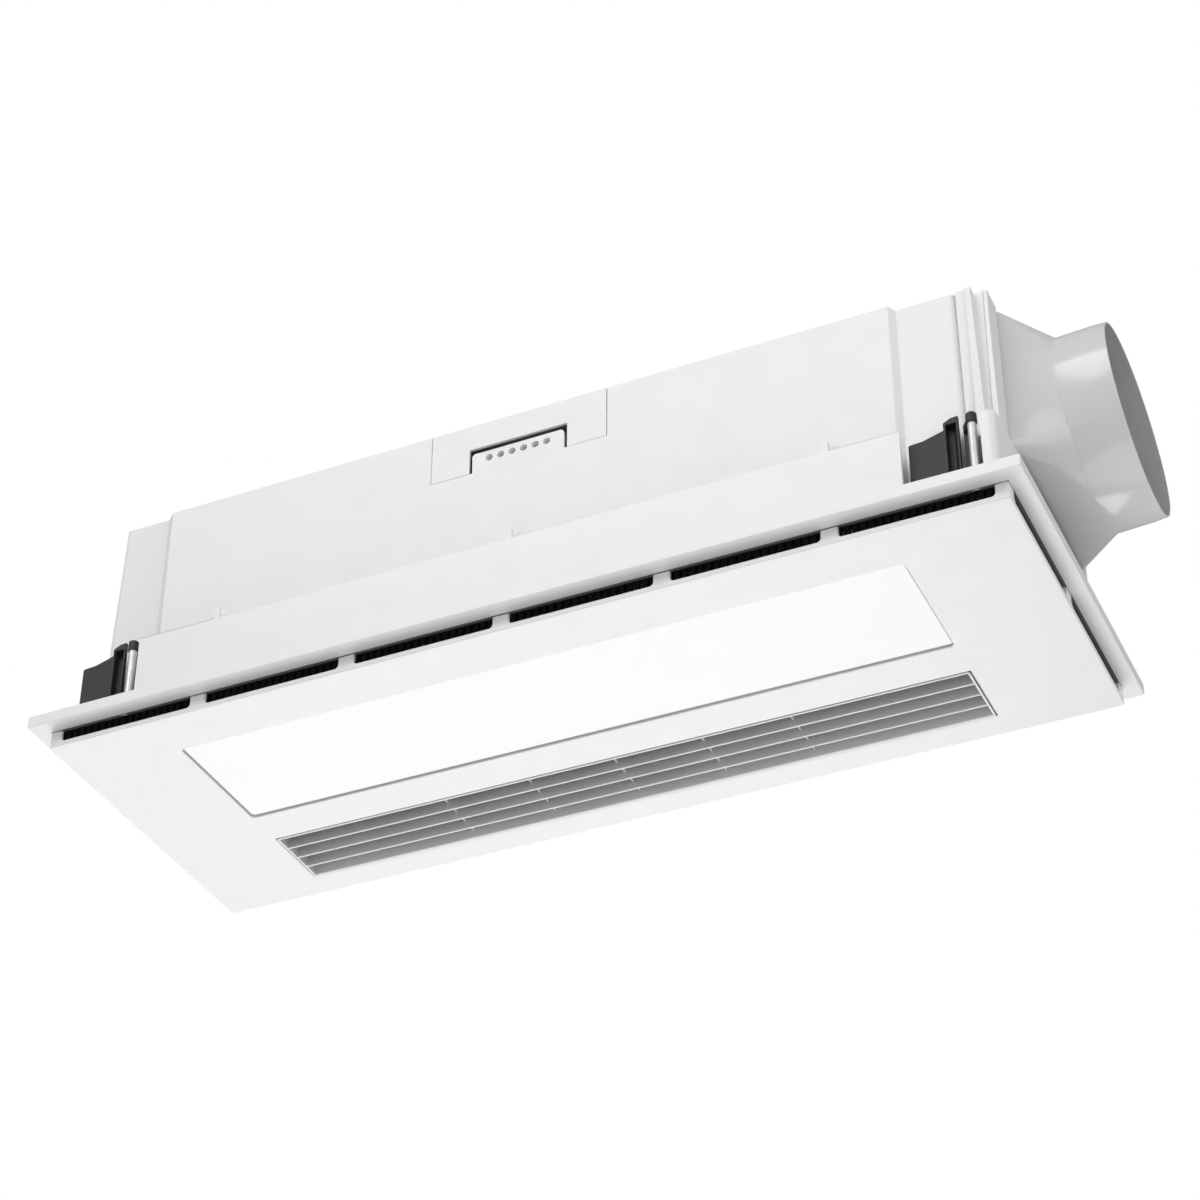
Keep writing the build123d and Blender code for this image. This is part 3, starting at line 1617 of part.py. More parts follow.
def led_tray():
    half = tray_half_length()
    front, rear = tray_sides()
    sheet = tray_sheet
    outer = block((-half - sheet, half + sheet), (front - sheet, rear + sheet), (panel_inside, tray_top))
    inner = block((-half, half), (front, rear), (panel_inside - 1, tray_top - sheet))
    pieces = [outer]
    tab_low = panel_inside + boss_height
    tab_z = (tab_low, tab_low + sheet)
    for x in tray_tab_places():
        width = (x - tray_tab_width / 2, x + tray_tab_width / 2)
        pieces.append(block(width, (front - sheet - tray_tab, front), tab_z))
        pieces.append(block(width, (rear, rear + sheet + tray_tab), tab_z))
    body = joined(pieces) - inner
    for x, y in tray_screw_places():
        body -= rod(small_screw_radius + 0.2, (x, y, tab_low - 1), (x, y, tab_low + sheet + 1))
    return body


def led_tray_screws():
    seat = panel_inside + boss_height + tray_sheet
    length = tray_sheet + boss_height - 0.5
    screws = []
    for x, y in tray_screw_places():
        screws.append(small_screw(length, (x, y, seat), (0, 0, 1)))
    return screws


def board_row_places():
    """Y of the middle of each light board."""
    reach = board_row_pitch * (board_rows - 1) / 2
    return span(light_middle - reach, light_middle + reach, board_rows)


def led_boards():
    top = tray_top - tray_sheet
    boards = []
    x = (-board_length / 2, board_length / 2)
    for y in board_row_places():
        boards.append(block(x, (y - board_width / 2, y + board_width / 2), (top - board_thickness, top)))
    return boards


def led_chips():
    top = tray_top - tray_sheet - board_thickness
    reach = board_length / 2 - board_width
    chips = []
    for y in board_row_places():
        for x in span(-reach, reach, chips_per_row):
            half = chip_size / 2
            chips.append(block((x - half, x + half), (y - half, y + half), (top - chip_height, top)))
    return chips


def led_driver():
    return block(
        (driver_x, driver_x + driver_length),
        (driver_y, driver_y + driver_width),
        (tray_top, tray_top + driver_height),
    )


# Control board, hung under the housing's top

def control_board():
    top = housing_inside - spacer_length
    return block((board_x, board_x + control_length), (board_y, board_y + control_width),
                 (top - board_thickness, top))


def board_spacers():
    foot = housing_inside - spacer_length
    spacers = []
    for x in (board_x + spacer_inset, board_x + control_length - spacer_inset):
        for y in (board_y + spacer_inset, board_y + control_width - spacer_inset):
            spacers.append(rod(spacer_radius, (x, y, foot), (x, y, housing_inside)))
    return spacers


def board_relays():
    top = housing_inside - spacer_length - board_thickness
    relays = []
    for i in range(relay_count):
        x = board_x + spacer_inset + i * (relay_length + spacer_inset)
        y = board_y + control_width - spacer_inset - relay_width
        relays.append(block((x, x + relay_length), (y, y + relay_width), (top - relay_height, top)))
    return relays


def fan_capacitor():
    top = housing_inside - spacer_length - board_thickness
    x = board_x + control_length - spacer_inset - capacitor_length
    y = board_y + spacer_inset
    return block((x, x + capacitor_length), (y, y + capacitor_width), (top - capacitor_height, top))


write("mounting_frame", mounting_frame())
write("face_panel", face_panel())
write("intake_guards", intake_guards())
write("light_diffuser", light_diffuser())
write("outlet_grille", outlet_grille())
write("housing_shell", housing_shell())
write("housing_screws", housing_screws())
write("wiring_cover", wiring_cover())
write("cover_screws", cover_screws())
write("terminal_block", terminal_block())
write("terminal_screws", terminal_screws())
write("outlet_frame", outlet_frame())
write("outlet_frame_screws", outlet_frame_screws())
write("duct_adapter", duct_adapter())
write("backdraft_flap", backdraft_flap())
write("flap_pin", flap_pin())
write_clamps()
write("exhaust_scroll", exhaust_scroll())
write("exhaust_scroll_lid", exhaust_scroll_lid())
write("fan_posts", fan_posts())
write("exhaust_impeller", exhaust_impeller())
write("impeller_nut", impeller_nut())
write("exhaust_motor_case", exhaust_motor_case())
write("exhaust_motor_stator", exhaust_motor_stator())
write("exhaust_motor_rotor", exhaust_motor_rotor())
write("exhaust_bearings", exhaust_bearings())
write("heater_blower_casing", heater_blower_casing())
write("heater_blower_wheel", heater_blower_wheel())
write("heater_bearing", heater_bearing())
write("heater_motor_case", heater_motor_case())
write("heater_motor_stator", heater_motor_stator())
write("heater_motor_rotor", heater_motor_rotor())
write("heater_frame", heater_frame())
write("ptc_fin_blocks", ptc_fin_blocks())
write("ptc_element_bars", ptc_element_bars())
write("heater_plenum", heater_plenum())
write("thermal_cutout", thermal_cutout())
write("thermal_fuse", thermal_fuse())
write("led_tray", led_tray())
write("led_tray_screws", led_tray_screws())
write("led_boards", led_boards())
write("led_chips", led_chips())
write("led_driver", led_driver())
write("control_board", control_board())
write("board_spacers", board_spacers())
write("board_relays", board_relays())
write("fan_capacitor", fan_capacitor())
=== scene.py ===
import math

import bmesh
import bpy
import numpy as np
from bpy.props import FloatProperty, FloatVectorProperty, IntProperty, PointerProperty
from mathutils import Matrix, Vector


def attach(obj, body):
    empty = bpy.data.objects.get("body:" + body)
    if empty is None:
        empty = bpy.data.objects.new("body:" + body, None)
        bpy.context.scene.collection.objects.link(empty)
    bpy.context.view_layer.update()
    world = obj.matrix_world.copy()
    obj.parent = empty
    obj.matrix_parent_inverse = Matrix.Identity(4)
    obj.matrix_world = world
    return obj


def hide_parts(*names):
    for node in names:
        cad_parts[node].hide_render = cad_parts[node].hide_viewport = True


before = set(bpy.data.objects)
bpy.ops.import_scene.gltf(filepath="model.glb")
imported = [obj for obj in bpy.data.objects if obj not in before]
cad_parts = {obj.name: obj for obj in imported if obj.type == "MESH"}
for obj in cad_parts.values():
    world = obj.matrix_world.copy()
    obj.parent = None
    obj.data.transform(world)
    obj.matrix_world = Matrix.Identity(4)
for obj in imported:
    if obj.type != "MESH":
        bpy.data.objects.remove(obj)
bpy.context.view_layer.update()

bl_info = {
    "name": "Bathroom Heater Fan Light",
    "version": (1, 0, 0),
    "blender": (4, 5, 0),
    "location": "View3D > Sidebar > Heater",
    "description": "Dresses a ceiling heater, fan and light around its CAD frame",
    "category": "Add Mesh",
}

MM = 0.001

# Places that differ by less than this are the same
SAME = 0.01 * MM

# The camera that the photograph was taken with, in the unit's own frame
CAMERA_PLACE = (0.63584, -1.36897, -1.00852)
CAMERA_LOOKS_ALONG = (-0.336185, 0.738847, 0.584025)
CAMERA_ROLL = 0.18
CAMERA_LENS = 87.28

CLAMP_CORNERS = ("front_left", "front_right", "rear_right", "rear_left")

MOTTLE_COLOUR = (0.45, 0.45, 0.44, 1)
DUST_COLOUR = (0.42, 0.4, 0.37, 1)
TARNISH_COLOUR = (0.3, 0.3, 0.31, 1)

# Edges that meet at more than this many degrees are sharp
SHARP_ANGLE = 32

# Each square lamp's name, place, power setting and width
LAMPS = (
    ("key_lamp", (-1.0, 1.7, -2.1), "key", 2.0),
    ("front_lamp", (-0.5, -2.0, 1.7), "front", 1.8),
    ("low_lamp", (0.4, -0.4, -2.6), "below", 2.0),
    ("side_lamp", (2.2, -1.4, 0.3), "side", 2.0),
)
LAMPS_AIM = (0, 0, 0.05)


class MouldingSettings(bpy.types.PropertyGroup):
    """Sizes and colours of the white mouldings, and the colours of the painted shade in their gaps.
    """
    edge: FloatProperty(
        name="Edge radius", description="Radius that softens each moulded edge",
        default=0.00045, min=0.0001, max=0.002, unit="LENGTH", precision=5)
    panel_colour: FloatVectorProperty(
        name="Panel", description="Colour of the face panel and the grille",
        default=(0.855, 0.857, 0.858), size=3, min=0, max=1, subtype="COLOR")
    frame_colour: FloatVectorProperty(
        name="Frame", description="Colour of the mounting frame",
        default=(0.835, 0.838, 0.84), size=3, min=0, max=1, subtype="COLOR")
    housing_colour: FloatVectorProperty(
        name="Housing", description="Colour of the housing and its cover",
        default=(0.835, 0.836, 0.84), size=3, min=0, max=1, subtype="COLOR")
    duct_colour: FloatVectorProperty(
        name="Duct", description="Colour of the duct adapter",
        default=(0.66, 0.662, 0.668), size=3, min=0, max=1, subtype="COLOR")
    guard_colour: FloatVectorProperty(
        name="Guards", description="Colour of the guards behind the air slots",
        default=(0.004, 0.004, 0.0045), size=3, min=0, max=1, subtype="COLOR")
    # Painted shade on the panel's steep walls and edge round the grille's window, where shadow
    # falls in the gap.
    window_painted_shade: FloatVectorProperty(
        name="Window walls", description="Colour of the walls and the edge of the grille's window",
        default=(0.36, 0.36, 0.362), size=3, min=0, max=1, subtype="COLOR")
    # Painted shade in the gaps round the grille and on the frame's underside behind the panel's air
    # slots, which lies in shadow.
    gap_painted_shade: FloatVectorProperty(
        name="Gaps", description="Colour of the gaps round the grille and behind the panel",
        default=(0.16, 0.16, 0.162), size=3, min=0, max=1, subtype="COLOR")


class LightSettings(bpy.types.PropertyGroup):
    """Look of the lit window."""
    opal: FloatVectorProperty(
        name="Opal", description="Colour of the opal sheet",
        default=(0.3, 0.298, 0.29), size=3, min=0, max=1, subtype="COLOR")
    glow: FloatVectorProperty(
        name="Glow", description="Colour of the light that comes through the sheet",
        default=(1.0, 0.99, 0.975), size=3, min=0, max=1, subtype="COLOR")
    glow_strength: FloatProperty(
        name="Glow strength", description="Brightness of the sheet's face as it is seen",
        default=0.6, min=0, max=2)


class GrilleSettings(bpy.types.PropertyGroup):
    """Sizes of the louvres and ribs of the outlet grille, and the painted shade on the louvres."""
    louvres: IntProperty(
        name="Louvres", description="Number of louvres between the rims",
        default=3, min=1, max=8)
    thickness: FloatProperty(
        name="Thickness", description="Thickness of a louvre",
        default=0.0014, min=0.0005, max=0.003, unit="LENGTH", precision=4)
    lean: FloatProperty(
        name="Lean", description="How far a louvre's top stands behind its foot",
        default=0.0024, min=0, max=0.006, unit="LENGTH", precision=4)
    rim: FloatProperty(
        name="Rim", description="Thickness of the grille's rim",
        default=0.0014, min=0.0005, max=0.004, unit="LENGTH", precision=4)
    ribs: IntProperty(
        name="Ribs", description="Number of cross ribs behind the louvres' edges",
        default=5, min=1, max=15)
    rib_pitch: FloatProperty(
        name="Rib pitch", description="Distance from one cross rib to the next",
        default=0.06, min=0.01, max=0.2, unit="LENGTH", precision=4)
    rib_recess: FloatProperty(
        name="Rib recess", description="How far the cross ribs are set back from the face",
        default=0.0062, min=0, max=0.009, unit="LENGTH", precision=4)
    rib: FloatProperty(
        name="Rib", description="Thickness of a cross rib",
        default=0.0015, min=0.0005, max=0.003, unit="LENGTH", precision=4)
    # Painted shade on the louvres' upright faces above their lower edges, where shadow falls in the
    # grille's recess.
    painted_shade: FloatVectorProperty(
        name="Shade", description="Colour of the heat-tinted louvres above their edges",
        default=(0.68, 0.68, 0.682), size=3, min=0, max=1, subtype="COLOR")
    fade: FloatProperty(
        name="Fade", description="Height above the face at which that colour is reached",
        default=0.0012, min=0.0006, max=0.01, unit="LENGTH", precision=4)


class DuctSettings(bpy.types.PropertyGroup):
    """Sizes of the bead round the spigot's root, and the painted shade inside the spigot."""
    rise: FloatProperty(
        name="Rise", description="Angle at which the spigot rises away from the housing",
        default=math.radians(3.75), min=0, max=0.2, subtype="ANGLE")
    radius: FloatProperty(
        name="Radius", description="Outer radius of the spigot at the bead",
        default=0.06205, min=0.02, max=0.1, unit="LENGTH", precision=4)
    length: FloatProperty(
        name="Length", description="Distance from the spigot's mouth back to the bead",
        default=0.032, min=0.01, max=0.06, unit="LENGTH", precision=4)
    bead: FloatProperty(
        name="Bead", description="Radius of the bead's half-round section",
        default=0.0003, min=0.0001, max=0.001, unit="LENGTH", precision=5)
    # Painted shade on the spigot's inner face, which lies in shadow.
    inside: FloatVectorProperty(
        name="Inside", description="Colour of the spigot's dull inner face",
        default=(0.5, 0.5, 0.502), size=3, min=0, max=1, subtype="COLOR")


class ClampSettings(bpy.types.PropertyGroup):
    """Sizes and colours of the swing clamps."""
    edge: FloatProperty(
        name="Edge radius", description="Radius that softens the clamp's edges",
        default=0.0003, min=0.0001, max=0.001, unit="LENGTH", precision=5)
    nylon: FloatVectorProperty(
        name="Nylon", description="Colour of the arms and brackets",
        default=(0.012, 0.012, 0.013), size=3, min=0, max=1, subtype="COLOR")
    zinc: FloatVectorProperty(
        name="Zinc", description="Colour of the plated screws and nuts",
        default=(0.8, 0.8, 0.805), size=3, min=0, max=1, subtype="COLOR")
    thread_pitch: FloatProperty(
        name="Thread pitch", description="Pitch of the clamp screw's thread",
        default=0.001, min=0.0004, max=0.002, unit="LENGTH", precision=5)
    thread_depth: FloatProperty(
        name="Thread depth", description="Depth of the clamp screw's thread",
        default=0.0002, min=0.0001, max=0.0006, unit="LENGTH", precision=5)


class HeatSettings(bpy.types.PropertyGroup):
    """Sizes and colours of the fans and the heating element."""
    fin_pitch: FloatProperty(
        name="Fin pitch", description="Distance from one fold of the fins to the next",
        default=0.003, min=0.0015, max=0.008, unit="LENGTH", precision=4)
    fin_sheet: FloatProperty(
        name="Fin sheet", description="Thickness of the folded fin sheet",
        default=0.0002, min=0.0001, max=0.0005, unit="LENGTH", precision=5)
    aluminium: FloatVectorProperty(
        name="Aluminium", description="Colour of the fins, bars and blower wheel",
        default=(0.72, 0.73, 0.74), size=3, min=0, max=1, subtype="COLOR")
    galvanised: FloatVectorProperty(
        name="Galvanised", description="Colour of the plenum and the blower casing",
        default=(0.5, 0.51, 0.52), size=3, min=0, max=1, subtype="COLOR")
    fan_grey: FloatVectorProperty(
        name="Fan grey", description="Colour of the exhaust fan's mouldings",
        default=(0.5, 0.5, 0.5), size=3, min=0, max=1, subtype="COLOR")
    heatproof: FloatVectorProperty(
        name="Heatproof", description="Colour of the heating element's frame",
        default=(0.09, 0.05, 0.03), size=3, min=0, max=1, subtype="COLOR")


class StageSettings(bpy.types.PropertyGroup):
    """Light and floor."""
    sky: FloatProperty(
        name="Sky", description="Strength of the even light from all round",
        default=0.41, min=0, max=2)
    key: FloatProperty(
        name="Key lamp", description="Power of the large lamp under the unit and behind it",
        default=40, min=0, max=200)
    front: FloatProperty(
        name="Front lamp", description="Power of the lamp in front and above",
        default=35.5, min=0, max=200)
    below: FloatProperty(
        name="Low lamp", description="Power of the lamp straight below",
        default=13.5, min=0, max=200)
    side: FloatProperty(
        name="Side lamp", description="Power of the lamp at the duct's side",
        default=18, min=0, max=200)
    floor_depth: FloatProperty(
        name="Floor depth", description="How far the floor is below the ceiling plane",
        default=3.4, min=1, max=5, unit="LENGTH")


# Node helpers

class Tree:
    """Short way to add nodes to a tree and join their sockets."""

    def __init__(self, tree):
        self.tree = tree

    def node(self, kind, inputs=None, **settings):
        new = self.tree.nodes.new(kind)
        for key, value in settings.items():
            setattr(new, key, value)
        self.fill(new, inputs or {})
        return new

    def fill(self, node, inputs):
        """Sockets joined to the node's inputs, and plain values set on them."""
        for key, value in inputs.items():
            if isinstance(value, bpy.types.NodeSocket):
                self.tree.links.new(value, node.inputs[key])
            else:
                node.inputs[key].default_value = value

    def math(self, operation, first, second=0.0):
        return self.node("ShaderNodeMath", {0: first, 1: second}, operation=operation).outputs[0]

    def ramp(self, value, low, high, out_low, out_high):
        values = {"Value": value, "From Min": low, "From Max": high, "To Min": out_low,
                  "To Max": out_high}
        return self.node("ShaderNodeMapRange", values).outputs["Result"]

    def product(self, *factors):
        """Socket that is the product of the factors."""
        result = factors[0]
        for factor in factors[1:]:
            result = self.math("MULTIPLY", result, factor)
        return result

    def normal(self):
        """X, Y and Z sockets of the surface's normal."""
        normal = self.node("ShaderNodeNewGeometry").outputs["Normal"]
        return self.node("ShaderNodeSeparateXYZ", {"Vector": normal}).outputs

    def noise(self, where, scale, detail):
        """Factor socket of a noise texture."""
        values = {"Vector": where, "Scale": scale, "Detail": detail}
        return self.node("ShaderNodeTexNoise", values).outputs["Fac"]

    def bump(self, height, strength, distance):
        """Normal socket of the relief that a height socket gives."""
        values = {"Height": height, "Strength": strength, "Distance": distance}
        return self.node("ShaderNodeBump", values).outputs["Normal"]

    def blend(self, share, first, second):
        values = {"Factor": share, 6: first, 7: second}
        return self.node("ShaderNodeMix", values, data_type="RGBA").outputs[2]


def skin_group(name, values):
    """Node group for a skin: a vector, a colour and the named values go in, and a colour, a
    roughness and a height come out. Gives the group, its tree, its inputs and its last node."""
    group = bpy.data.node_groups.new(name, "ShaderNodeTree")
    sockets = [("Vector", "NodeSocketVector", "INPUT"), ("Colour", "NodeSocketColor", "INPUT")]
    sockets += [(label, "NodeSocketFloat", "INPUT") for label in values]
    sockets += [("Colour", "NodeSocketColor", "OUTPUT")]
    sockets += [(label, "NodeSocketFloat", "OUTPUT") for label in ("Roughness", "Height")]
    for label, kind, side in sockets:
        socket = group.interface.new_socket(label, in_out=side, socket_type=kind)
        if side == "INPUT" and label in values:
            socket.default_value = values[label]
    tree = Tree(group)
    return group, tree, tree.node("NodeGroupInput").outputs, tree.node("NodeGroupOutput")


def moulded_skin():
    """Group for moulded plastic: colour mottling, uneven gloss, fine spark grain and slow waves."""
    name = "moulded_skin"
    if name in bpy.data.node_groups:
        return bpy.data.node_groups[name]
    values = {"Roughness": 0.35, "Grain size": 1400.0, "Mottle": 0.02, "Dust": 0.03}
    group, tree, take, last = skin_group(name, values)
    where, colour = take["Vector"], take["Colour"]
    cloud = tree.noise(where, 55.0, 4.0)
    settled = tree.product(tree.ramp(tree.normal()["Z"], 0.5, 1.0, 0.0, 1.0), cloud, take["Dust"])
    dark = tree.blend(take["Mottle"], colour, MOTTLE_COLOUR)
    mottled = tree.blend(tree.ramp(cloud, 0.3, 0.7, 0.0, 1.0), colour, dark)
    uneven = tree.ramp(cloud, 0.25, 0.75, -0.04, 0.05)
    rough = tree.math("ADD", take["Roughness"], uneven)
    fine = tree.product(tree.noise(where, take["Grain size"], 2.0), 0.35)
    tree.fill(last, {"Colour": tree.blend(settled, mottled, DUST_COLOUR),
                     "Roughness": tree.math("ADD", rough, settled),
                     "Height": tree.math("ADD", fine, tree.noise(where, 14.0, 2.0))})
    return group


def brushed_skin():
    """Group for bare and plated metal: fine drawn lines along X and mottled tarnish."""
    name = "brushed_skin"
    if name in bpy.data.node_groups:
        return bpy.data.node_groups[name]
    values = {"Roughness": 0.35, "Line stretch": 0.03, "Tarnish": 0.2}
    group, tree, take, last = skin_group(name, values)
    split = tree.node("ShaderNodeSeparateXYZ", {"Vector": take["Vector"]}).outputs
    along = tree.product(split["X"], take["Line stretch"])
    stretched = tree.node("ShaderNodeCombineXYZ", {"X": along, "Y": split["Y"], "Z": split["Z"]})
    lines = tree.noise(stretched.outputs[0], 2600.0, 2.0)
    cloud = tree.noise(take["Vector"], 120.0, 5.0)
    share = tree.product(tree.ramp(cloud, 0.45, 0.7, 0.0, 1.0), take["Tarnish"])
    uneven = tree.ramp(lines, 0.3, 0.7, -0.08, 0.1)
    tree.fill(last, {"Colour": tree.blend(share, take["Colour"], TARNISH_COLOUR),
                     "Roughness": tree.math("ADD", take["Roughness"], uneven), "Height": lines})
    return group


def material(name):
    """New material with its tree, its shader and an object-coordinate vector."""
    made = bpy.data.materials.new(name)
    made.use_nodes = True
    tree = Tree(made.node_tree)
    shader = made.node_tree.nodes["Principled BSDF"]
    place = tree.node("ShaderNodeTexCoord").outputs["Object"]
    return made, tree, shader, place


def rgba(colour):
    """Colour with full alpha."""
    return (*colour, 1.0)


def skinned(name, group, values, depth, fixed):
    """Material whose colour, gloss and relief come from a skin group, with the shader's other
    fixed values. The same name gives the same material."""
    if name in bpy.data.materials:
        return bpy.data.materials[name]
    made, tree, shader, place = material(name)
    skin = tree.node("ShaderNodeGroup", {"Vector": place, **values}, node_tree=group).outputs
    relief = tree.bump(skin["Height"], 0.5, depth * MM)
    tree.fill(shader, {"Base Color": skin["Colour"], "Roughness": skin["Roughness"],
                       "Normal": relief, **fixed})
    return made


def plastic(name, colour, roughness, grain=1400.0, depth=0.02, mottle=0.02, dust=0.03,
            coat=0.0, specular=0.5):
    """Moulded plastic with the moulded skin group's colour, gloss and relief."""
    values = {"Colour": rgba(colour), "Roughness": roughness, "Grain size": grain,
              "Mottle": mottle, "Dust": dust}
    fixed = {"Coat Weight": coat, "Specular IOR Level": specular}
    return skinned(name, moulded_skin(), values, depth, fixed)


def paint_shade_where(made, painted_shade, share):
    """Paints shade into a plastic's colour: turns it to the given painted shade where the share is
    one.
    The share is a function of the tree, the place's x, y and z sockets and the normal's z socket."""
    tree = Tree(made.node_tree)
    shader = made.node_tree.nodes["Principled BSDF"]
    place = made.node_tree.nodes["Texture Coordinate"].outputs["Object"]
    split = tree.node("ShaderNodeSeparateXYZ", {"Vector": place}).outputs
    before = shader.inputs["Base Color"].links[0].from_socket
    after = tree.blend(share(tree, split, tree.normal()["Z"]), before, rgba(painted_shade))
    tree.fill(shader, {"Base Color": after})


def within(tree, place, low, high):
    """Socket that is one where x and y are both between two corners' x and y."""
    sides = []
    for axis in (0, 1):
        middle, half = (low[axis] + high[axis]) / 2, (high[axis] - low[axis]) / 2
        away = tree.math("ABSOLUTE", tree.math("SUBTRACT", place[axis], middle))
        sides.append(tree.math("LESS_THAN", away, half))
    return tree.product(*sides)


def metal(name, colour, roughness, stretch=0.03, tarnish=0.2):
    """Bare or plated metal with the brushed skin group's colour, gloss and relief."""
    values = {"Colour": rgba(colour), "Roughness": roughness, "Line stretch": stretch,
              "Tarnish": tarnish}
    return skinned(name, brushed_skin(), values, 0.01, {"Metallic": 1.0})


def stock(name):
    """Shared material by its name: a metal or a plastic, its colour, roughness and the rest."""
    settings = bpy.context.scene.heater_heat
    kinds = {
        "zinc_plate": (metal, bpy.context.scene.heater_clamps.zinc, 0.45),
        "ground_steel": (metal, (0.55, 0.56, 0.57), 0.25),
        "core_steel": (metal, (0.2, 0.2, 0.21), 0.5, {"tarnish": 0.5}),
        "turned_brass": (metal, (0.62, 0.44, 0.16), 0.35),
        "bare_aluminium": (metal, settings.aluminium, 0.35),
        "galvanised": (metal, settings.galvanised, 0.45, {"stretch": 1.0, "tarnish": 0.4}),
        "natural_nylon": (plastic, (0.7, 0.68, 0.6), 0.5),
        "phenolic": (plastic, (0.025, 0.022, 0.02), 0.5),
        "rubber_bush": (plastic, (0.02, 0.02, 0.02), 0.7, {"mottle": 0.0}),
        "heatproof_plastic": (plastic, settings.heatproof, 0.6, {"mottle": 0.06}),
        "fan_abs": (plastic, settings.fan_grey, 0.45),
        "impeller_plastic": (plastic, (0.35, 0.36, 0.37), 0.4),
        "flap_plastic": (plastic, (0.42, 0.42, 0.43), 0.45),
        "reflector_paint": (plastic, (0.82, 0.82, 0.82), 0.5, {"grain": 900.0}),
        "phosphor": (plastic, (0.85, 0.62, 0.1), 0.25, {"mottle": 0.1}),
        "driver_case": (plastic, (0.03, 0.03, 0.032), 0.5, {"mottle": 0.0}),
    }
    make, colour, roughness, *rest = kinds[name]
    return make(name, colour, roughness, **(rest[0] if rest else {}))


def opal_sheet(settings):
    """Opal acrylic lit from behind. Its glow is seen on the face alone, not on its sides."""
    made, tree, shader, place = material("opal_sheet")
    prisms = tree.node("ShaderNodeTexVoronoi", {"Vector": place, "Scale": 900.0})
    cloudy = tree.ramp(tree.noise(place, 30.0, 3.0), 0.3, 0.7, 0.0, 0.1)
    face = tree.ramp(tree.normal()["Z"], -0.9, -0.4, 1.0, 0.0)
    seen = tree.node("ShaderNodeLightPath").outputs["Is Camera Ray"]
    tree.fill(shader, {
        "Base Color": tree.blend(cloudy, rgba(settings.opal), (0.2, 0.2, 0.19, 1)),
        "Roughness": 0.42, "Normal": tree.bump(prisms.outputs["Distance"], 0.25, 0.02 * MM),
        "Emission Color": rgba(settings.glow),
        "Emission Strength": tree.product(face, seen, settings.glow_strength),
    })
    return made


def circuit_board(name, colour, copper):
    """Solder mask with faint tracks under it."""
    made, tree, shader, place = material(name)
    values = {"Vector": place, "Scale": 160.0, "Mortar Size": 0.03, "Color1": rgba(colour),
              "Color2": rgba(colour), "Mortar": rgba(copper)}
    tracks = tree.node("ShaderNodeTexBrick", values).outputs
    uneven = tree.ramp(tree.noise(place, 300.0, 2.0), 0.3, 0.7, 0.25, 0.4)
    tree.fill(shader, {"Base Color": tracks["Color"], "Roughness": uneven,
                       "Normal": tree.bump(tracks["Fac"], 0.4, 0.03 * MM)})
    return made


# Mesh helpers

def linked(name, data):
    """Object with the data, in the scene."""
    made = bpy.data.objects.new(name, data)
    bpy.context.scene.collection.objects.link(made)
    return made


def shown(mesh, name, body, finish, nodes=()):
    """Object for a finished mesh that rides on a body and stands for the named CAD nodes."""
    mesh.materials.clear()
    mesh.materials.append(finish)
    piece = linked(name, mesh)
    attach(piece, body)
    if nodes:
        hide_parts(*nodes)
    return piece


def smooth(mesh, angle=SHARP_ANGLE):
    """Smooth shading that stays sharp where faces meet at more than the angle."""
    mesh.polygons.foreach_set("use_smooth", np.ones(len(mesh.polygons), bool))
    mesh.set_sharp_from_angle(angle=math.radians(angle))


def merged_copy(node, outside_only=False, shortest=0.0):
    """Copy of a CAD node's mesh with doubles merged, flat faces joined and sharp edges marked:
    all of them, or those in its lowest and four upright outer planes, or of a length and more."""
    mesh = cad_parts[node].data.copy()
    mesh.name = node + "_soft"
    form = bmesh.new()
    form.from_mesh(mesh)
    bmesh.ops.remove_doubles(form, verts=form.verts, dist=0.002 * MM)
    flat = math.radians(0.6)
    bmesh.ops.dissolve_limit(form, angle_limit=flat, verts=form.verts, edges=form.edges)
    mark = form.edges.layers.float.new("bevel_weight_edge")
    outer = ((0, min), (0, max), (1, min), (1, max), (2, min))
    planes = [(axis, pick(v.co[axis] for v in form.verts)) for axis, pick in outer]
    for edge in form.edges:
        sharp = edge.is_manifold and edge.calc_face_angle() > math.radians(SHARP_ANGLE)
        flush = any(all(abs(v.co[axis] - place) < SAME for v in edge.verts)
                    for axis, place in planes)
        edge[mark] = float(sharp and (flush or not outside_only) and edge.calc_length() >= shortest)
    form.to_mesh(mesh)
    form.free()
    return mesh


def soften(node, body, finish, width, segments=2, outside_only=False, shortest=0.0):
    """Piece with a CAD node's own shape, whose marked edges a bevel modifier rounds."""
    mesh = merged_copy(node, outside_only, shortest)
    smooth(mesh)
    piece = shown(mesh, node + "_moulding", body, finish, (node,))
    bevel = piece.modifiers.new("rounded edges", "BEVEL")
    bevel.width = width
    bevel.segments = segments
    bevel.limit_method = "WEIGHT"
    bevel.use_clamp_overlap = False
    bevel.harden_normals = True
    bevel.miter_outer = "MITER_ARC"


def dress(node, finish):
    """Material on a CAD node that stays as it is."""
    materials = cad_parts[node].data.materials
    materials.clear()
    materials.append(finish)


def dress_all(finishes):
    """Stock materials on CAD nodes that stay as they are: a material's name for each node."""
    for node, name in finishes.items():
        dress(node, stock(name))


def grid_faces(rows, columns, wrap_rows=False, wrap_columns=False):
    """Corner numbers of every cell of a grid whose points are counted row by row."""
    row = np.arange(rows if wrap_rows else rows - 1)
    column = np.arange(columns if wrap_columns else columns - 1)
    r, c = np.meshgrid(row, column, indexing="ij")
    c_next = (c + 1) % columns
    here, beyond = r * columns, (r + 1) % rows * columns
    corners = [here + c, here + c_next, beyond + c_next, beyond + c]
    return np.stack(corners, axis=-1).reshape(-1, 4).tolist()


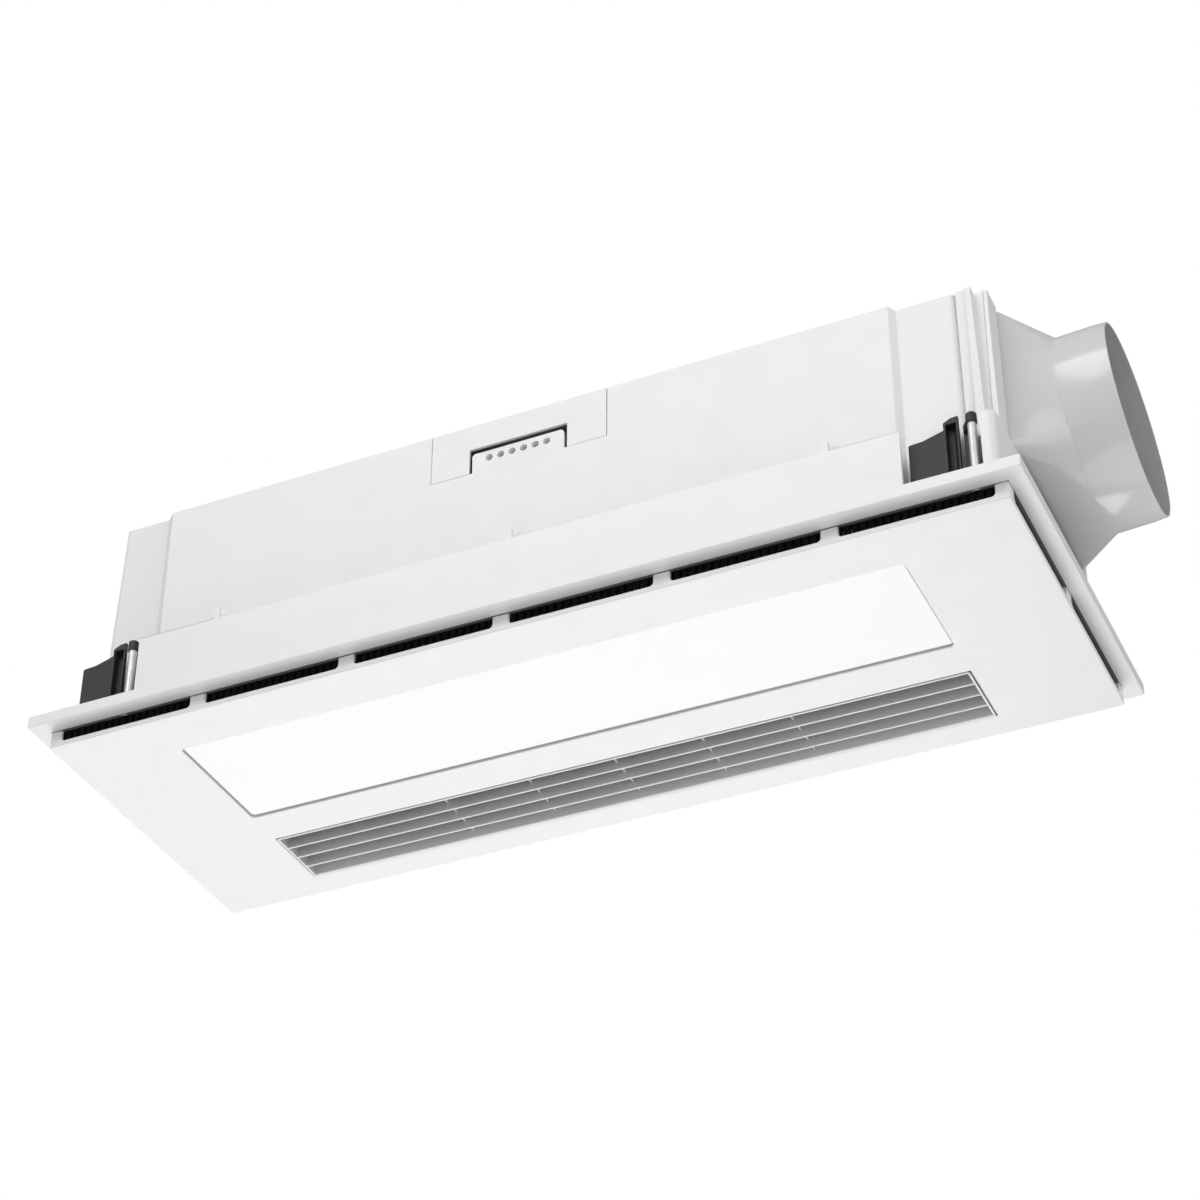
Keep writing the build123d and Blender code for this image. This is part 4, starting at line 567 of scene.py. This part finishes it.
def build_mesh(name, points, faces, outward=True):
    """Mesh from an array of points and lists of corner numbers, with its normals made outward."""
    mesh = bpy.data.meshes.new(name)
    mesh.from_pydata(np.asarray(points, float).reshape(-1, 3).tolist(), [], faces)
    if outward:
        form = bmesh.new()
        form.from_mesh(mesh)
        bmesh.ops.remove_doubles(form, verts=form.verts, dist=0.0005 * MM)
        bmesh.ops.recalc_face_normals(form, faces=form.faces)
        form.to_mesh(mesh)
        form.free()
    mesh.update()
    return mesh


def turned_points(profile, centre, axis, steps):
    """Surface of revolution: each profile row gives a height along the axis and a radius, and the
    point turns evenly round the axis."""
    axis = np.array(Vector(axis).normalized())
    side = np.cross(axis, (0.0, 1.0, 0.0) if abs(axis[1]) < 0.9 else (1.0, 0.0, 0.0))
    side /= np.linalg.norm(side)
    across = np.cross(axis, side)
    angle = np.linspace(0, 2 * np.pi, steps, endpoint=False)
    profile = np.asarray(profile, float)
    circle = np.cos(angle)[:, None] * side + np.sin(angle)[:, None] * across
    along = profile[:, 0][:, None, None] * axis
    return np.asarray(centre, float) + along + profile[:, 1][:, None, None] * circle[None]


def cad_points(node):
    """Corner points of a CAD node as an array."""
    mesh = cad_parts[node].data
    points = np.empty(len(mesh.vertices) * 3)
    mesh.vertices.foreach_get("co", points)
    return points.reshape(-1, 3)


def cad_box(node):
    """Lowest and highest corner of a CAD node's box."""
    points = cad_points(node)
    return points.min(axis=0), points.max(axis=0)


def rounded_section(corners, radius, steps=4):
    """Flat outline whose corners are rounded: from each corner the curve is the corner plus
    (1 - t) squared times the step back along one side plus t squared times the step ahead."""
    corners = np.asarray(corners, float)
    back = np.roll(corners, 1, axis=0) - corners
    ahead = np.roll(corners, -1, axis=0) - corners
    back *= radius / np.linalg.norm(back, axis=1, keepdims=True)
    ahead *= radius / np.linalg.norm(ahead, axis=1, keepdims=True)
    t = np.linspace(0, 1, steps)[None, :, None]
    curve = corners[:, None] + (1 - t) ** 2 * back[:, None] + t ** 2 * ahead[:, None]
    return curve.reshape(-1, 2)


def bar(section, start, end, along="X"):
    """Straight bar: a flat outline set at two places along X or Y, joined up and capped."""
    count = len(section)
    place = np.repeat([start, end], count)
    first, height = np.tile(section, (2, 1)).T
    points = np.stack([place, first, height] if along == "X" else [first, place, height], axis=-1)
    caps = [list(range(count)), list(range(count, 2 * count))]
    return points, grid_faces(2, count, wrap_columns=True) + caps


def box_section(low, high, foot, top):
    """Corners of an upright rectangle."""
    return [(low, foot), (high, foot), (high, top), (low, top)]


def assembled(name, parts):
    """One mesh from several sets of points and faces."""
    points, faces, start = [], [], 0
    for part_points, part_faces in parts:
        part_points = np.asarray(part_points, float).reshape(-1, 3)
        points.append(part_points)
        faces += [[corner + start for corner in face] for face in part_faces]
        start += len(part_points)
    return build_mesh(name, np.concatenate(points), faces)


# Operators

class HEATER_OT_mouldings(bpy.types.Operator):
    """Make the white frame, panel, housing, cover and rails with softened edges"""
    bl_idname = "heater.mouldings"
    bl_label = "White mouldings"

    def execute(self, context):
        settings = context.scene.heater_mouldings
        panel = plastic("panel_abs", settings.panel_colour, roughness=0.34, depth=0.012)
        rim = plastic("frame_abs", settings.frame_colour, roughness=0.36, depth=0.015)
        shell = plastic("housing_abs", settings.housing_colour, roughness=0.42, grain=1100.0)
        self.shade_gaps(settings, panel, rim)
        guard = plastic("guard_black", settings.guard_colour, roughness=0.85, grain=1800.0,
                        mottle=0.0, dust=0.01, specular=0.15)
        edge = settings.edge
        soften("face_panel", "unit", panel, 1.7 * edge, 3, outside_only=True)
        soften("mounting_frame", "unit", rim, edge, outside_only=True)
        soften("housing_shell", "unit", shell, edge, shortest=6 * MM)
        soften("wiring_cover", "unit", shell, edge / 2)
        soften("outlet_frame", "unit", shell, edge)
        dress("intake_guards", guard)
        return {"FINISHED"}

    def shade_gaps(self, settings, panel, rim):
        """Painted shade: darker walls round the grille, and a dark underside behind the panel's air
        slots, where shadow falls.
        """
        grille, fascia = cad_box("outlet_grille"), cad_box("face_panel")

        # Painted shade: the panel's steep faces inside the grille's box
        def shaded_window_walls(tree, place, facing):
            steep = tree.math("LESS_THAN", tree.math("ABSOLUTE", facing), 0.9)
            return tree.product(steep, within(tree, place, *grille))

        # Painted shade: the frame's downward faces within the panel's outline, seen through the air
        # slots
        def shaded_behind_slots(tree, place, facing):
            down = tree.math("LESS_THAN", facing, -0.5)
            return tree.product(down, within(tree, place, *fascia))

        paint_shade_where(panel, settings.window_painted_shade, shaded_window_walls)
        paint_shade_where(rim, settings.gap_painted_shade, shaded_behind_slots)


class HEATER_OT_light_window(bpy.types.Operator):
    """Make the lit opal window, and finish the tray, boards and chips behind it"""
    bl_idname = "heater.light_window"
    bl_label = "Light window"

    def execute(self, context):
        opal = opal_sheet(context.scene.heater_light)
        soften("light_diffuser", "unit", opal, 0.3 * MM)
        dress("led_boards", circuit_board("white_mask", (0.8, 0.8, 0.78), (0.72, 0.7, 0.62)))
        dress_all({"led_tray": "reflector_paint", "led_chips": "phosphor",
                   "led_driver": "driver_case"})
        return {"FINISHED"}


class HEATER_OT_grille(bpy.types.Operator):
    """Make the outlet grille: its rim and lip, the leaning louvres and the set-back cross ribs"""
    bl_idname = "heater.grille"
    bl_label = "Outlet grille"

    def execute(self, context):
        settings = context.scene.heater_grille
        colours = context.scene.heater_mouldings
        parts = self.rims(settings) + self.louvres(settings) + self.ribs(settings)
        mesh = assembled("outlet_grille_mesh", parts)
        smooth(mesh, 40)
        right, front, rear, foot, _ = self.limits()
        skin = 0.1 * MM

        # Painted shade: upright louvre faces above their lower edges, fading in over the fade
        # height
        def shaded_above_the_edges(tree, place, facing):
            upright = tree.ramp(facing, -0.8, -0.4, 0.0, 1.0)
            high = tree.ramp(place[2], foot + 0.5 * MM, foot + settings.fade, 0.0, 1.0)
            return tree.product(upright, high)

        # Painted shade on the rim's outer faces, in the gap between the grille and the panel
        def shaded_rim_outside(tree, place, facing):
            inner = within(tree, place, (skin - right, front + skin), (right - skin, rear - skin))
            outer = tree.math("SUBTRACT", 1.0, inner)
            return tree.product(shaded_above_the_edges(tree, place, facing), outer)

        finish = plastic("grille_plastic", colours.panel_colour, roughness=0.38, depth=0.015)
        paint_shade_where(finish, settings.painted_shade, shaded_above_the_edges)
        paint_shade_where(finish, colours.gap_painted_shade, shaded_rim_outside)
        nodes = ("outlet_grille",)
        shown(mesh, "outlet_grille_moulding", "unit", finish, nodes)
        return {"FINISHED"}

    def limits(self):
        """Right end, front, rear, foot and top of the grille's rims."""
        points = cad_points("outlet_grille")
        foot, top = points[:, 2].min(), points[:, 2].max()
        face = points[points[:, 2] < foot + SAME]
        return face[:, 0].max(), face[:, 1].min(), face[:, 1].max(), foot, top

    def rims(self, settings):
        """Four upright rims with rounded edges and the flat lip behind the panel."""
        right, front, rear, foot, top = self.limits()
        lip_low, lip_high = cad_box("outlet_grille")
        rim = settings.rim
        soft = 0.3 * rim
        parts = []
        for y in (front, rear - rim):
            section = rounded_section(box_section(y, y + rim, foot, top), soft)
            parts.append(bar(section, -right, right))
        for x in (-right, right - rim):
            section = rounded_section(box_section(x, x + rim, foot, top), soft)
            parts.append(bar(section, front, rear, "Y"))
        lip_z = (foot + 2.2 * MM, foot + 3.7 * MM)
        for y in ((lip_low[1], front + soft), (rear - soft, lip_high[1])):
            parts.append(bar(box_section(*y, *lip_z), lip_low[0], lip_high[0]))
        for x in ((lip_low[0], soft - right), (right - soft, lip_high[0])):
            parts.append(bar(box_section(*x, *lip_z), front, rear, "Y"))
        return parts

    def louvres(self, settings):
        """Leaning louvres, evenly spaced, each a parallelogram with rounded edges run along X."""
        right, front, rear, foot, top = self.limits()
        step = (rear - front - settings.rim) / (settings.louvres + 1)
        half, sunk = settings.thickness / 2, settings.rim / 2
        parts = []
        for i in range(settings.louvres):
            y = front + sunk + step * (i + 1)
            corners = [(y - half, foot), (y + half, foot)]
            corners += [(y + half + settings.lean, top), (y - half + settings.lean, top)]
            parts.append(bar(rounded_section(corners, 0.7 * half), sunk - right, right - sunk))
        return parts

    def ribs(self, settings):
        """Thin cross ribs behind the louvres' lower edges."""
        _, front, rear, foot, top = self.limits()
        half, sunk = settings.rib / 2, settings.rim / 2
        places = (np.arange(settings.ribs) - (settings.ribs - 1) / 2) * settings.rib_pitch
        parts = []
        for x in places:
            corners = box_section(x - half, x + half, foot + settings.rib_recess, top - 0.05 * MM)
            parts.append(bar(rounded_section(corners, 0.5 * half), front + sunk, rear - sunk, "Y"))
        return parts


class HEATER_OT_duct(bpy.types.Operator):
    """Make the duct adapter with its spigot, and finish the flap and its pin"""
    bl_idname = "heater.duct"
    bl_label = "Duct adapter"

    def execute(self, context):
        settings = context.scene.heater_duct
        wall = 0.9 * MM
        inner = settings.radius - wall
        middle = self.mouth(settings)[1]
        root = middle[0] - settings.length
        slope = math.tan(settings.rise)

        # Painted shade on the spigot's bore, from its root to its mouth
        def inside(tree, place, facing):
            rise = tree.product(tree.math("SUBTRACT", place["X"], middle[0]), slope)
            height = tree.math("SUBTRACT", place["Z"], tree.math("ADD", rise, middle[2]))
            side = tree.math("SUBTRACT", place["Y"], middle[1])
            squares = tree.math("ADD", tree.product(height, height), tree.product(side, side))
            away = tree.math("SQRT", squares)
            near = tree.ramp(away, inner - 0.1 * MM, inner + 0.1 * MM, 1.0, 0.0)
            return tree.product(near, tree.ramp(place["X"], root, root + MM, 0.0, 1.0))

        colour = context.scene.heater_mouldings.duct_colour
        finish = plastic("duct_abs", colour, roughness=0.2, depth=0.012, coat=0.3)
        paint_shade_where(finish, settings.inside, inside)
        soften("duct_adapter", "unit", finish, 0.3 * MM)
        self.bead(settings, finish)
        dress_all({"backdraft_flap": "flap_plastic", "flap_pin": "ground_steel"})
        return {"FINISHED"}

    def mouth(self, settings):
        """Direction of the spigot's axis and the middle of its mouth, halfway between the extremes
        of the points that lie furthest along the axis."""
        points = cad_points("duct_adapter")
        axis = np.array((math.cos(settings.rise), 0.0, math.sin(settings.rise)))
        reach = points @ axis
        mouth = points[reach > reach.max() - 0.05 * MM]
        return axis, (mouth.max(axis=0) + mouth.min(axis=0)) / 2

    def bead(self, settings, finish):
        """Fine raised ring round the spigot's root: a half-round profile turned about the spigot's
        axis, the spigot's length back from the middle of its mouth."""
        axis, middle = self.mouth(settings)
        turn = np.linspace(-np.pi / 2, np.pi / 2, 7)
        along, out = settings.bead * np.sin(turn), settings.bead * np.cos(turn)
        profile = np.stack([along, settings.radius + out], axis=-1)
        steps = 128
        ring = turned_points(profile, middle - axis * settings.length, axis, steps)
        faces = grid_faces(len(profile), steps, wrap_rows=True, wrap_columns=True)
        mesh = assembled("spigot_bead_mesh", [(ring, faces)])
        smooth(mesh, 60)
        shown(mesh, "spigot_bead", "unit", finish)


class HEATER_OT_clamps(bpy.types.Operator):
    """Make the four swing clamps: arms, brackets, nuts and threaded screws"""
    bl_idname = "heater.clamps"
    bl_label = "Swing clamps"

    def execute(self, context):
        settings = context.scene.heater_clamps
        nylon = plastic("glass_nylon", settings.nylon, roughness=0.6, grain=2200.0, depth=0.03,
                        mottle=0.03)
        zinc = stock("zinc_plate")
        soften("clamp_brackets", "unit", nylon, settings.edge)
        for corner in CLAMP_CORNERS:
            soften("clamp_arm_" + corner, "arm_" + corner, nylon, settings.edge)
            dress("clamp_nut_" + corner, zinc)
        screws = [self.screw(settings, x, y) for x in (-1, 1) for y in (-1, 1)]
        mesh = assembled("clamp_screws_mesh", screws)
        smooth(mesh, 50)
        shown(mesh, "clamp_screws_threaded", "unit", zinc, ("clamp_screws",))
        return {"FINISHED"}

    def screw(self, settings, side_x, side_y):
        """One screw as a grid of heights by angles. The radius at a point is the profile's radius
        times one plus the lobe share times cos(6 angle), less the thread depth times a triangle
        wave of height / pitch - angle / (2 pi)."""
        points = cad_points("clamp_screws")
        points = points[(points[:, 0] * side_x > 0) & (points[:, 1] * side_y > 0)]
        foot, tip = points[:, 2].min(), points[:, 2].max()
        centre = (points[:, :2].max(axis=0) + points[:, :2].min(axis=0)) / 2
        head = np.ptp(points[:, 0]) / 2
        end = points[points[:, 2] > tip - SAME]
        shank = np.ptp(end[:, 0]) / 2
        seat, floor = foot + 2.8 * MM, foot + 2.0 * MM
        lower = np.array([
            (floor, 0.0, 0.0), (floor, 1.7 * MM, 0.12), (foot + 0.1 * MM, 1.75 * MM, 0.12),
            (foot, 1.85 * MM, 0.1), (foot, head - 0.6 * MM, 0.0),
            (foot + 0.15 * MM, head - 0.15 * MM, 0.0), (foot + 0.5 * MM, head, 0.0),
            (seat - 0.2 * MM, head, 0.0), (seat, head - 0.15 * MM, 0.0),
        ])
        height = np.arange(seat, tip - 0.6 * MM, settings.thread_pitch / 6)
        run = np.stack([height, np.full_like(height, shank), np.zeros_like(height)], axis=-1)
        upper = np.array([
            (tip - 0.5 * MM, shank - 0.2 * MM, 0.0), (tip, shank - 0.7 * MM, 0.0), (tip, 0.0, 0.0),
        ])
        profile = np.concatenate([lower, run, upper])
        level, plain_radius, lobes = profile.T[:, :, None]
        cut = np.zeros(len(profile))
        cut[len(lower) + 4:len(lower) + len(run)] = settings.thread_depth
        angle = np.linspace(0, 2 * np.pi, 24, endpoint=False)
        phase = level / settings.thread_pitch - angle[None] / (2 * np.pi)
        wave = np.abs(2 * (phase - np.floor(phase)) - 1)
        radius = plain_radius * (1 + lobes * np.cos(6 * angle)) - cut[:, None] * wave
        x = centre[0] + radius * np.cos(angle)
        y = centre[1] + radius * np.sin(angle)
        z = np.repeat(level, len(angle), axis=1)
        faces = grid_faces(len(profile), len(angle), wrap_columns=True)
        return np.stack([x, y, z], axis=-1).reshape(-1, 3), faces


class HEATER_OT_fasteners(bpy.types.Operator):
    """Finish the small screws and the terminals"""
    bl_idname = "heater.fasteners"
    bl_label = "Fasteners"

    def execute(self, context):
        dress_all({
            "housing_screws": "zinc_plate", "cover_screws": "zinc_plate",
            "outlet_frame_screws": "zinc_plate", "led_tray_screws": "zinc_plate",
            "terminal_block": "natural_nylon", "terminal_screws": "turned_brass",
        })
        return {"FINISHED"}


class HEATER_OT_exhaust_fan(bpy.types.Operator):
    """Finish the exhaust fan's scroll, impeller and motor"""
    bl_idname = "heater.exhaust_fan"
    bl_label = "Exhaust fan"

    def execute(self, context):
        dress_all({
            "exhaust_scroll": "fan_abs", "exhaust_scroll_lid": "fan_abs", "fan_posts": "fan_abs",
            "exhaust_impeller": "impeller_plastic", "impeller_nut": "turned_brass",
            "exhaust_motor_case": "zinc_plate", "exhaust_motor_stator": "core_steel",
            "exhaust_motor_rotor": "ground_steel", "exhaust_bearings": "ground_steel",
        })
        return {"FINISHED"}


class HEATER_OT_heater_blower(bpy.types.Operator):
    """Finish the heater blower's casing, wheel and motor"""
    bl_idname = "heater.heater_blower"
    bl_label = "Heater blower"

    def execute(self, context):
        dress_all({
            "heater_blower_casing": "galvanised", "heater_blower_wheel": "bare_aluminium",
            "heater_bearing": "rubber_bush", "heater_motor_case": "zinc_plate",
            "heater_motor_stator": "core_steel", "heater_motor_rotor": "ground_steel",
        })
        return {"FINISHED"}


class HEATER_OT_element(bpy.types.Operator):
    """Make the folded fins, and finish the element's bars, frame, plenum and safety parts"""
    bl_idname = "heater.element"
    bl_label = "Heating element"

    def execute(self, context):
        settings = context.scene.heater_heat
        aluminium = stock("bare_aluminium")
        mesh = assembled("ptc_fins_mesh", self.fins(settings))
        shown(mesh, "ptc_fins_folded", "unit", aluminium, ("ptc_fin_blocks",))
        dress_all({
            "ptc_element_bars": "bare_aluminium", "heater_frame": "heatproof_plastic",
            "heater_plenum": "galvanised", "thermal_cutout": "phenolic",
            "thermal_fuse": "natural_nylon",
        })
        return {"FINISHED"}

    def fins(self, settings):
        """Folded fin strips. Each strip's path is a triangle wave: Y swings between the strip's
        two sides once per pitch along X; the sheet stands upright between two heights."""
        low, high = cad_box("ptc_fin_blocks")
        edges = np.unique(np.round(cad_points("ptc_element_bars")[:, 1], 6))
        fronts = np.concatenate([[low[1]], edges[1::2]])
        rears = np.concatenate([edges[0::2], [high[1]]])
        count = int((high[0] - low[0]) / settings.fin_pitch)
        x = np.linspace(low[0] + settings.fin_sheet, high[0] - settings.fin_sheet, 2 * count + 1)
        swing = np.arange(2 * count + 1) % 2
        parts = []
        for front, rear in zip(fronts, rears):
            y = front + 0.02 * MM + swing * (rear - front - 0.04 * MM)
            loop_x = np.concatenate([x - settings.fin_sheet / 2, x[::-1] + settings.fin_sheet / 2])
            loop_y = np.concatenate([y, y[::-1]])
            size = len(loop_x)
            wall = [np.stack([loop_x, loop_y, np.full(size, z)], axis=-1)
                    for z in (low[2], high[2])]
            sides = grid_faces(2, size, wrap_columns=True)
            half = size // 2
            row = np.arange(half - 1)
            caps = np.stack([row, row + 1, size - 2 - row, size - 1 - row], axis=-1)
            parts.append((np.concatenate(wall), sides + caps.tolist() + (caps + size).tolist()))
        return parts


class HEATER_OT_controls(bpy.types.Operator):
    """Finish the control board with its spacers, relays and capacitor"""
    bl_idname = "heater.controls"
    bl_label = "Controls"

    def execute(self, context):
        dress("control_board", circuit_board("green_mask", (0.01, 0.1, 0.03), (0.02, 0.16, 0.05)))
        dress_all({"board_spacers": "natural_nylon", "board_relays": "phenolic",
                   "fan_capacitor": "phenolic"})
        return {"FINISHED"}


class HEATER_OT_stage(bpy.types.Operator):
    """Make the camera, the lamps, the sky and the pale floor"""
    bl_idname = "heater.stage"
    bl_label = "Stage"

    def execute(self, context):
        settings = context.scene.heater_stage
        self.camera(context.scene)
        self.sky(context.scene, settings)
        self.floor(settings.floor_depth)
        for name, place, power, width in LAMPS:
            self.lamp(name, place, getattr(settings, power), width)
        context.scene.view_settings.view_transform = "Standard"
        return {"FINISHED"}

    def camera(self, scene):
        """Camera with its back along the line of sight, level but for a small roll."""
        lens = bpy.data.cameras.new("camera")
        lens.lens = CAMERA_LENS
        lens.sensor_width = 36
        lens.clip_end = 50
        holder = linked("camera", lens)
        forward = Vector(CAMERA_LOOKS_ALONG).normalized()
        right = forward.cross(Vector((0, 0, 1))).normalized()
        up = right.cross(forward)
        roll = math.radians(CAMERA_ROLL)
        turned_right = right * math.cos(roll) + up * math.sin(roll)
        turned_up = up * math.cos(roll) - right * math.sin(roll)
        turn = Matrix((turned_right, turned_up, -forward)).transposed().to_4x4()
        holder.matrix_world = Matrix.Translation(CAMERA_PLACE) @ turn
        scene.camera = holder

    def lamp(self, name, place, power, width):
        """Square soft lamp aimed at the unit's middle."""
        lamp = bpy.data.lights.new(name, "AREA")
        lamp.energy = power
        lamp.size = width
        holder = linked(name, lamp)
        aim = Vector(LAMPS_AIM) - Vector(place)
        turn = aim.to_track_quat("-Z", "Y").to_matrix().to_4x4()
        holder.matrix_world = Matrix.Translation(place) @ turn

    def sky(self, scene, settings):
        """Even light from all round, seen as plain white by the camera."""
        world = bpy.data.worlds.new("sky")
        world.use_nodes = True
        scene.world = world
        tree = Tree(world.node_tree)
        ray = tree.node("ShaderNodeLightPath").outputs
        seen = tree.math("MAXIMUM", ray["Is Camera Ray"], ray["Is Transmission Ray"])
        strength = tree.ramp(seen, 0.0, 1.0, settings.sky, 1.0)
        sky = world.node_tree.nodes["Background"]
        tree.fill(sky, {"Color": (1, 1, 1, 1), "Strength": strength})

    def floor(self, depth):
        """Large pale floor well below the unit, a flat grid of a few points."""
        side = np.linspace(-6.0, 6.0, 5)
        x, y = np.meshgrid(side, side)
        points = np.stack([x, y, np.full_like(x, -depth)], axis=-1)
        mesh = build_mesh("floor", points, grid_faces(5, 5), outward=False)
        made, tree, shader, _ = material("pale_floor")
        seen = tree.node("ShaderNodeLightPath").outputs["Is Camera Ray"]
        glow = tree.node("ShaderNodeEmission", {"Color": (1, 1, 1, 1), "Strength": 1.0})
        shares = {0: tree.product(seen, 0.6), 1: shader.outputs[0], 2: glow.outputs[0]}
        both = tree.node("ShaderNodeMixShader", shares)
        tree.fill(shader, {"Base Color": (0.86, 0.86, 0.86, 1), "Roughness": 0.8})
        tree.fill(made.node_tree.nodes["Material Output"], {"Surface": both.outputs[0]})
        mesh.materials.append(made)
        linked("floor", mesh)


OPERATORS = (
    HEATER_OT_mouldings, HEATER_OT_light_window, HEATER_OT_grille, HEATER_OT_duct, HEATER_OT_clamps,
    HEATER_OT_fasteners, HEATER_OT_exhaust_fan, HEATER_OT_heater_blower, HEATER_OT_element,
    HEATER_OT_controls, HEATER_OT_stage,
)
SETTINGS = {
    "heater_mouldings": MouldingSettings,
    "heater_light": LightSettings,
    "heater_grille": GrilleSettings,
    "heater_duct": DuctSettings,
    "heater_clamps": ClampSettings,
    "heater_heat": HeatSettings,
    "heater_stage": StageSettings,
}


class HEATER_PT_panel(bpy.types.Panel):
    """Sizes, colours and buttons for every group of pieces"""
    bl_idname = "HEATER_PT_panel"
    bl_label = "Bathroom heater"
    bl_space_type = "VIEW_3D"
    bl_region_type = "UI"
    bl_category = "Heater"

    def draw(self, context):
        for name, kind in SETTINGS.items():
            box = self.layout.box()
            for key in kind.__annotations__:
                box.prop(getattr(context.scene, name), key)
        for operator in OPERATORS:
            self.layout.operator(operator.bl_idname)


def register():
    for kind in SETTINGS.values():
        bpy.utils.register_class(kind)
    for name, kind in SETTINGS.items():
        setattr(bpy.types.Scene, name, PointerProperty(type=kind))
    for kind in (*OPERATORS, HEATER_PT_panel):
        bpy.utils.register_class(kind)


def unregister():
    for kind in (HEATER_PT_panel, *reversed(OPERATORS)):
        bpy.utils.unregister_class(kind)
    for name in SETTINGS:
        delattr(bpy.types.Scene, name)
    for kind in reversed(SETTINGS.values()):
        bpy.utils.unregister_class(kind)


def main():
    register()
    for operator in OPERATORS:
        group, name = operator.bl_idname.split(".")
        getattr(getattr(bpy.ops, group), name)()


if __name__ == "__main__":
    main()
